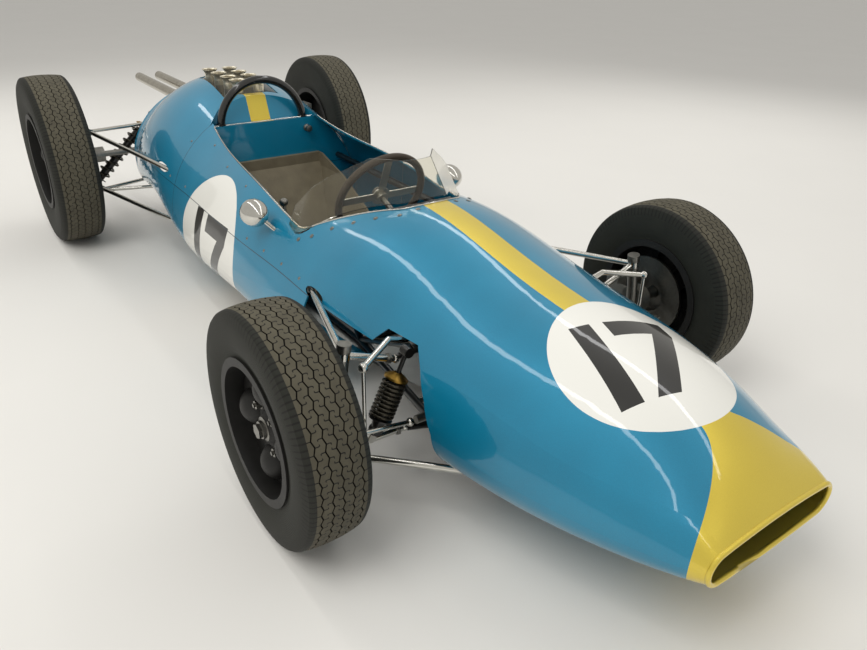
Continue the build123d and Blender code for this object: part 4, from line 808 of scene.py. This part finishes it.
def on_surface(tree, origin, direction):
    """Place on the surface where a ray from outside meets it, its Z axis outwards, or None."""
    spot, normal, _, _ = tree.ray_cast(Vector(origin), Vector(direction))
    if spot is None:
        return None
    if normal.dot(Vector(direction)) > 0:
        normal = -normal
    return stand(spot, normal)


def below(tree, x, y):
    """Place on the surface straight below a plan point, or None."""
    return on_surface(tree, (x, y, 1.0), (0, 0, -1))


SCREW_RADIUS = 0.0052
# Screws over the shut line: body part, front one's place, count, and then their spacing and height over it
SEAM_ROWS = (("body_top", 0.66, 9), ("engine_cover", -0.44, 6))
SEAM_SPACING = 0.118
SEAM_RISE = 0.020
# Screws on the left seen from above, beside the cockpit and at the front of the engine cover
EDGE_SCREWS = (("body_top", -0.25, 0.262), ("body_top", -0.06, 0.290), ("body_top", 0.14, 0.305),
               ("body_top", 0.32, 0.315), ("engine_cover", -0.400, 0.30))


def seam_height(x):
    """Height of the shut line at a station along the car."""
    share = (SEAM_FRONT[0] - x) / (SEAM_FRONT[0] - SEAM_REAR[0])
    return SEAM_FRONT[1] + share * (SEAM_REAR[1] - SEAM_FRONT[1])


def make_fasteners():
    """Screws along the shut line, the cockpit edge and the engine cover, but none on the side discs."""
    surfaces = {node: surface_tree(node) for node in ("body_top", "engine_cover")}
    places = []
    for side in (1, -1):
        for node, start, count in SEAM_ROWS:
            for x in [start - SEAM_SPACING * k for k in range(count)]:
                if abs(x - SIDE_CENTRE[0]) >= settings().side_radius:
                    origin = (x, side, seam_height(x) + SEAM_RISE)
                    places.append(on_surface(surfaces[node], origin, (0, -side, 0)))
        places += [below(surfaces[node], x, side * y) for node, x, y in EDGE_SCREWS]
    bm = bmesh.new()
    for place in filter(None, places):
        add_dome(bm, place, SCREW_RADIUS)
    make_piece("body_screws", bm, "steel", "chassis", 50.0)


# The screen's foot in plan on the left, from the front round to the side
SCREEN_FOOT = ((0.806, 0.055), (0.795, 0.110), (0.742, 0.157), (0.688, 0.199), (0.632, 0.240),
               (0.580, 0.281), (0.535, 0.304))
# How far in front of the foot its screws stand, and how far outside it
SCREEN_SCREWS_OFF = (0.020, 0.012)

# The cockpit edge in plan on the left: arcs from the rear corner forward, then a line to the scuttle's arc
COCKPIT_REAR = (-0.382, 0.214)
COCKPIT_ARCS = ((COCKPIT_REAR, (0.060, 0.268), (0.510, 0.292)),
                ((0.510, 0.292), (0.541, 0.288), (0.560, 0.278)))
SCUTTLE_ARC = ((0.787, 0.105), (0.817, 0.0), (0.787, -0.105))
# Station of the deck's front edge, behind the cockpit
DECK_EDGE = -0.386
BEAD_RADIUS = 0.0028
# How far outside the cockpit edge the bead lies, and the plan point and stretch that outside is measured by
BEAD_OUT = 0.003
EDGE_MIDDLE = 0.15
EDGE_STRETCH = 1.6


def cockpit_edge():
    """Plan points along the cockpit edge, from the rear left corner round the front to the rear right."""
    left = [COCKPIT_REAR]
    for arc in COCKPIT_ARCS:
        left += through(*arc, 24)
    start, end = left[-1], SCUTTLE_ARC[0]
    left += [tuple(a + (b - a) * k / 16 for a, b in zip(start, end)) for k in range(1, 17)]
    front = through(*SCUTTLE_ARC, 16)
    right = [(x, -y) for x, y in reversed(left)]
    return left + front + right[1:]


def add_bead(bm, node, plan):
    """A bead along plan points on a node, half sunk into it."""
    surface = surface_tree(node)
    places = [below(surface, x, y) for x, y in plan]
    raised = Vector((0, 0, BEAD_RADIUS / 2))
    add_tube(bm, [place.translation + raised for place in places if place], BEAD_RADIUS)


def make_cockpit_bead():
    """Bright bead rolled round the cockpit edge, and along the edge of the deck behind it."""
    plan = []
    for x, y in cockpit_edge():
        outward = Vector((x - EDGE_MIDDLE, y * EDGE_STRETCH, 0)).normalized() * BEAD_OUT
        plan.append((x + outward.x, y + outward.y))
    bm = bmesh.new()
    add_bead(bm, "body_top", plan)
    add_bead(bm, "engine_cover", [(DECK_EDGE, COCKPIT_REAR[1] * (1 - k / 12)) for k in range(25)])
    make_piece("cockpit_bead", bm, "chrome", "chassis", 60.0)


def make_screen_fittings():
    """Screws with washers along the foot of the screen."""
    top = surface_tree("body_top")
    ahead, aside = SCREEN_SCREWS_OFF
    bm = bmesh.new()
    for side in (1, -1):
        for x, y in SCREEN_FOOT:
            spot = below(top, x + ahead, side * (y + aside))
            if spot:
                add_washer(bm, spot, 7 * MM, 1 * MM, 12)
                add_dome(bm, spot @ lift(1 * MM), SCREW_RADIUS * 0.8)
    make_piece("screen_screws", bm, "steel", "chassis", 50.0)


# Gauges on the panel: place across, height, radius
GAUGES = ((-0.098, 0.474, 0.030), (0.098, 0.474, 0.030), (-0.160, 0.474, 0.024), (0.160, 0.474, 0.024))


def add_mark(bm, place, degrees, middle, width, length):
    """A thin bar on a gauge face, turned about its middle: a tick or the needle."""
    turned = place @ Matrix.Rotation(math.radians(degrees), 4, "Z") @ Matrix.Translation(middle)
    bmesh.ops.create_cube(bm, size=1.0, matrix=turned @ Matrix.Diagonal((width, length, 0.6 * MM, 1)))


def make_gauges():
    """Bezels, faces, needles and tick marks on the rear face of the panel."""
    low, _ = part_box("instrument_panel")
    bezels, faces, marks = bmesh.new(), bmesh.new(), bmesh.new()
    for y, z, radius in GAUGES:
        place = stand((low.x, y, z), (-1, 0, 0))
        inner, ridge, face = radius * 0.86, radius * 0.92, radius * 0.87
        add_turned(bezels, place, [(inner, 0.0), (radius, 0.0), (radius, 0.007), (ridge, 0.010),
                                   (inner, 0.006), (inner, 0.0)])
        add_turned(faces, place, [(0.0, 0.003), (face, 0.003), (face, 0.0005), (0.0, 0.0005)])
        for k in range(11):
            add_mark(marks, place, -130 + 26 * k, (0, radius * 0.72, 3.3 * MM), 1.2 * MM, radius * 0.16)
        add_mark(marks, place, -110, (0, radius * 0.3, 4.5 * MM), 1.4 * MM, radius * 0.66)
    make_piece("gauge_bezels", bezels, "chrome", "chassis")
    make_piece("gauge_faces", faces, "dial", "chassis")
    make_piece("gauge_marks", marks, "print", "chassis")


# Knob on the bulkhead: place across and height
KNOB_PLACE = (0.182, 0.560)
# Circles of the bolts at the hoop's feet and of those in the steering wheel's boss
FOOT_CIRCLE = 0.0172
BOSS_CIRCLE = 0.026


def make_cockpit_fittings():
    """Knob on the bulkhead, bolts at the feet of the hoop, and the boss of the steering wheel."""
    _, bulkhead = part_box("rear_bulkhead")
    bm = bmesh.new()
    place = stand((bulkhead.x, *KNOB_PLACE), (1, 0, 0))
    add_turned(bm, place, [(0.0, 0.0), (0.014, 0.0), (0.014, 0.006), (0.008, 0.010), (0.008, 0.018),
                           (0.013, 0.022), (0.013, 0.030), (0.0, 0.033)])
    make_piece("bulkhead_knob", bm, "steel", "chassis")

    low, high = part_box("roll_hoop")
    bolts = bmesh.new()
    for side in (1, -1):
        foot = Vector(((low.x + high.x) / 2, side * (high.y - 0.020), low.z + 0.004))
        for k in range(4):
            angle = math.tau * (k + 0.5) / 4
            spot = foot + Vector((math.cos(angle), math.sin(angle), 0.0)) * FOOT_CIRCLE
            add_hexagon(bolts, Matrix.Translation(spot), 0.0045, 0.003)
    make_piece("hoop_bolts", bolts, "steel", "chassis")

    joint = next(j for j in frame["joints"] if j["name"] == "steering")
    axis = Vector(joint["axis"])
    place = stand(joint["pos_m"], axis if axis.x < 0 else -axis)
    boss = bmesh.new()
    add_turned(boss, place, [(0.0, 0.018), (0.018, 0.018), (0.020, 0.022), (0.017, 0.027), (0.0, 0.030)])
    for k in range(6):
        bolt = place @ Matrix.Rotation(math.tau * k / 6, 4, "Z") @ Matrix.Translation((BOSS_CIRCLE, 0, 0))
        add_hexagon(boss, bolt, 0.007, 0.005)
    make_piece("steering_wheel_boss", boss, "steel", "steering")


# Intake trumpets: stations of the four pairs, half the distance across, and the height of the gauzes' rims
TRUMPET_X = (-0.835, -0.727, -0.620, -0.521)
TRUMPET_Y = 0.045
GAUZE_HEIGHT = 0.746


def make_gauzes():
    """A low dome of wire gauze in the mouth of each intake trumpet."""
    bm = bmesh.new()
    for x in TRUMPET_X:
        for side in (1, -1):
            place = Matrix.Translation((x, side * TRUMPET_Y, GAUZE_HEIGHT))
            add_turned(bm, place, [(0.0, 0.0035), (0.012, 0.003), (0.022, 0.0015), (0.029, -0.001),
                                   (0.029, -0.0018), (0.0, 0.002)], 28)
    make_piece("trumpet_gauzes", bm, "gauze", "chassis", 50.0)


# Lock nuts of the suspension rods on the left: the rod's far end, the ball next to the nut, its radius
ROD_ENDS = (
    ((1.1555, 0.500, 0.412), (1.1555, 0.357, 0.356), 0.009),
    ((1.1555, 0.500, 0.412), (0.690, 0.352, 0.370), 0.009),
    ((1.1555, 0.540, 0.146), (1.1555, 0.330, 0.141), 0.009),
    ((-1.1195, 0.5367, 0.480), (-0.400, 0.3524, 0.425), 0.009),
    ((-1.1095, 0.5367, 0.225), (-0.400, 0.309, 0.179), 0.009),
    ((-1.175, 0.5367, 0.465), (-1.175, 0.230, 0.475), 0.008),
    ((-0.400, 0.3524, 0.425), (-1.1195, 0.5367, 0.480), 0.009),
    ((-0.400, 0.309, 0.179), (-1.1095, 0.5367, 0.225), 0.009),
)
NUT_FROM_BALL = 0.018


def make_lock_nuts():
    """Hexagon lock nuts on the screwed ends of the suspension rods."""
    bm = bmesh.new()
    for *ends, radius in ROD_ENDS:
        for side in (1, -1):
            far, ball = [Vector((x, side * y, z)) for x, y, z in ends]
            along = (far - ball).normalized()
            add_hexagon(bm, stand(ball + along * NUT_FROM_BALL, along), 2 * radius + 7 * MM, 8 * MM)
    make_piece("rod_lock_nuts", bm, "steel", "chassis")


# Bolts on the tail of the gearbox, from the middle of the case: across and up
BOLT_RING = ((-0.045, -0.055), (0.0, -0.062), (0.045, -0.055), (0.050, 0.0), (0.045, 0.055), (0.0, 0.062),
             (-0.045, 0.055), (-0.050, 0.0))
# The filler plug's distance from the tail
PLUG_AHEAD = 0.06


def make_gearbox_fittings():
    """Ring of bolts on the tail of the gearbox, and a filler plug on top."""
    low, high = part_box("gearbox")
    case = surface_tree("gearbox")
    bm = bmesh.new()
    for across, up in BOLT_RING:
        tail = on_surface(case, (low.x - 0.1, across, (low.z + high.z) / 2 + up), (1, 0, 0))
        add_bolt(bm, tail, 8.5 * MM, 1.5 * MM, 16, 10 * MM, 6 * MM)
    add_bolt(bm, below(case, low.x + PLUG_AHEAD, 0.0), 17 * MM, 4 * MM, 24, 22 * MM, 10 * MM)
    make_piece("gearbox_bolts", bm, "steel", "chassis")


# Middle of the left mirror's head: place across and height
MIRROR_OUT = 0.377
MIRROR_HEIGHT = 0.506


def make_mirror_glass():
    """Round glasses on the rear faces of the mirrors."""
    low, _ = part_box("mirrors")
    bm = bmesh.new()
    for side in (1, -1):
        place = stand((low.x, side * MIRROR_OUT, MIRROR_HEIGHT), (-1, 0, 0))
        add_turned(bm, place, [(0.0, 0.0016), (0.036, 0.001), (0.0385, 0.0), (0.0, 0.0)], 40)
    make_piece("mirror_glasses", bm, "mirror", "chassis")


# Operators, in the order in which they run

OPERATORS = []


def listed(operator):
    """Puts an operator on the list that main and the panel go through."""
    OPERATORS.append(operator)
    return operator


@listed
class RACINGCAR_OT_finishes(bpy.types.Operator):
    """Give every solid its paint, enamel, metal, vinyl or clear sheet"""

    bl_idname = "racingcar.finishes"
    bl_label = "Finishes"

    def execute(self, context):
        FINISHES.update(make_materials())
        for finish_name, nodes in NODE_FINISH.items():
            for node in nodes:
                materials = frame["nodes"][node].data.materials
                materials.clear()
                materials.append(FINISHES[finish_name])
        return {"FINISHED"}


@listed
class RACINGCAR_OT_tyres(bpy.types.Operator):
    """Make the four treaded tyres"""

    bl_idname = "racingcar.tyres"
    bl_label = "Tyres"

    def execute(self, context):
        for corner in CORNERS:
            make_tyre(corner)
        return {"FINISHED"}


@listed
class RACINGCAR_OT_wheels(bpy.types.Operator):
    """Make the hub nuts and studs of the wheels"""

    bl_idname = "racingcar.wheels"
    bl_label = "Wheel fittings"

    def execute(self, context):
        for corner in CORNERS:
            make_wheel_fittings(corner)
        return {"FINISHED"}


@listed
class RACINGCAR_OT_dampers(bpy.types.Operator):
    """Make the springs, dampers and lock nuts"""

    bl_idname = "racingcar.dampers"
    bl_label = "Springs and dampers"

    def execute(self, context):
        for axle in DAMPERS:
            make_dampers(axle)
        make_lock_nuts()
        return {"FINISHED"}


@listed
class RACINGCAR_OT_body(bpy.types.Operator):
    """Make the screws, the cockpit bead, the mirror glasses, the intake gauzes and the gearbox bolts"""

    bl_idname = "racingcar.body"
    bl_label = "Body fittings"

    def execute(self, context):
        make_fasteners()
        make_cockpit_bead()
        make_screen_fittings()
        make_mirror_glass()
        make_gauzes()
        make_gearbox_fittings()
        return {"FINISHED"}


@listed
class RACINGCAR_OT_cockpit(bpy.types.Operator):
    """Make the gauges, knob and steering wheel boss"""

    bl_idname = "racingcar.cockpit"
    bl_label = "Cockpit fittings"

    def execute(self, context):
        make_gauges()
        make_cockpit_fittings()
        return {"FINISHED"}


# The camera's angles, from the car's right side round to the nose and up from level, and its roll
CAMERA_AZIMUTH = math.radians(54.1)
CAMERA_ELEVATION = math.radians(27.87)
CAMERA_ROLL = math.radians(1.24)
CAMERA_LENS = 30.10
FLOOR_HALF = 60.0
# Lamps: name, place, point it faces, width, length, share of the main power, and whether gloss shows it
LAMPS = (
    ("key_lamp", (1.5, -3.0, 4.5), (0.2, 0.0, 0.3), 3.0, 3.0, 1.0, False),
    ("fill_lamp", (-1.0, 4.5, 3.5), (0.2, 0.0, 0.3), 3.0, 3.0, 0.55, False),
    ("rear_lamp", (-4.5, -1.5, 3.0), (-0.5, 0.0, 0.4), 2.0, 2.0, 0.35, False),
    ("near_tube_lamp", (0.1, -0.9, 3.3), (0.1, 0.0, 0.3), 0.16, 7.6, 0.152, True),
    ("far_tube_lamp", (0.1, 1.6, 3.3), (0.1, 0.0, 0.3), 0.16, 7.6, 0.152, True),
)


@listed
class RACINGCAR_OT_stage(bpy.types.Operator):
    """Make the studio floor, the light and the camera"""

    bl_idname = "racingcar.stage"
    bl_label = "Stage"

    def execute(self, context):
        values = settings()
        scene = context.scene
        # Painted board: pale and matt, with clouds of 600 mm that are 4% darker
        material, add, place = start_material("studio_floor")
        shade = [c * 0.96 for c in to_linear(values.floor)[:3]] + [1.0]
        share = add("TexNoise", place, 1 / (600 * MM), 3.0)
        add("OutputMaterial", add("BsdfPrincipled", Roughness=0.85,
                                  Base_Color=add("Mix", share, shade, values.floor, data_type="RGBA")))
        bm = bmesh.new()
        bmesh.ops.create_grid(bm, x_segments=1, y_segments=1, size=FLOOR_HALF,
                              matrix=lift(-0.5 * MM))
        mesh = bpy.data.meshes.new("studio_floor")
        bm.to_mesh(mesh)
        bm.free()
        floor = bpy.data.objects.new("studio_floor", mesh)
        mesh.materials.append(material)
        scene.collection.objects.link(floor)

        world = bpy.data.worlds.new("studio_world")
        world.use_nodes = True
        world.node_tree.nodes.clear()
        add = partial(add_node, world.node_tree)
        rays = add("LightPath").node.outputs
        mirrored = add("MAXIMUM", rays["Is Glossy Ray"], rays["Is Transmission Ray"])
        seen = add("MAXIMUM", rays["Is Camera Ray"], mirrored)
        lit = add("Background", "#FFFFFF", values.world_light)
        pale = add("Background", values.floor, values.backdrop)
        add("OutputWorld", add("MixShader", seen, lit, pale))
        scene.world = world

        for name, spot, target, width, length, power, shows in LAMPS:
            lamp = bpy.data.lights.new(name, "AREA")
            lamp.shape = "RECTANGLE"
            lamp.size, lamp.size_y = length, width
            lamp.energy = values.lamp_power * power
            holder = bpy.data.objects.new(name, lamp)
            holder.visible_glossy = shows
            holder.location = spot
            holder.rotation_mode = "QUATERNION"
            holder.rotation_quaternion = (Vector(target) - Vector(spot)).to_track_quat("-Z", "Y")
            scene.collection.objects.link(holder)

        back = Vector((math.sin(CAMERA_AZIMUTH) * math.cos(CAMERA_ELEVATION),
                       -math.cos(CAMERA_AZIMUTH) * math.cos(CAMERA_ELEVATION),
                       math.sin(CAMERA_ELEVATION)))
        right = (-back).cross(Vector((0, 0, 1))).normalized()
        up = right.cross(-back)
        turn = Matrix.Rotation(CAMERA_ROLL, 4, -back)
        level = Matrix((right, up, back)).transposed().to_4x4()
        camera = bpy.data.cameras.new("camera")
        camera.lens = CAMERA_LENS
        camera.clip_start = 0.05
        camera.clip_end = 200.0
        eye = bpy.data.objects.new("camera", camera)
        eye.matrix_world = Matrix.Translation(values.camera_place) @ turn.inverted() @ level
        scene.collection.objects.link(eye)
        scene.camera = eye
        scene.view_settings.view_transform = "Standard"
        return {"FINISHED"}


class RACINGCAR_PT_panel(bpy.types.Panel):
    """Buttons for each group of pieces"""

    bl_idname = "RACINGCAR_PT_panel"
    bl_label = "Racing car"
    bl_space_type = "VIEW_3D"
    bl_region_type = "UI"
    bl_category = "Racing car"

    def draw(self, context):
        for operator in OPERATORS:
            self.layout.operator(operator.bl_idname)


CLASSES = [RacingCarSettings, *OPERATORS, RACINGCAR_PT_panel]


def register():
    """Adds the settings, the operators and the panel."""
    for cls in CLASSES:
        bpy.utils.register_class(cls)
    bpy.types.Scene.racing_car = bpy.props.PointerProperty(type=RacingCarSettings)


def unregister():
    """Takes them away again."""
    del bpy.types.Scene.racing_car
    for cls in reversed(CLASSES):
        bpy.utils.unregister_class(cls)


def main():
    """Runs every operator."""
    register()
    for operator in OPERATORS:
        group, name = operator.bl_idname.split(".")
        getattr(getattr(bpy.ops, group), name)()


if __name__ == "__main__":
    main()
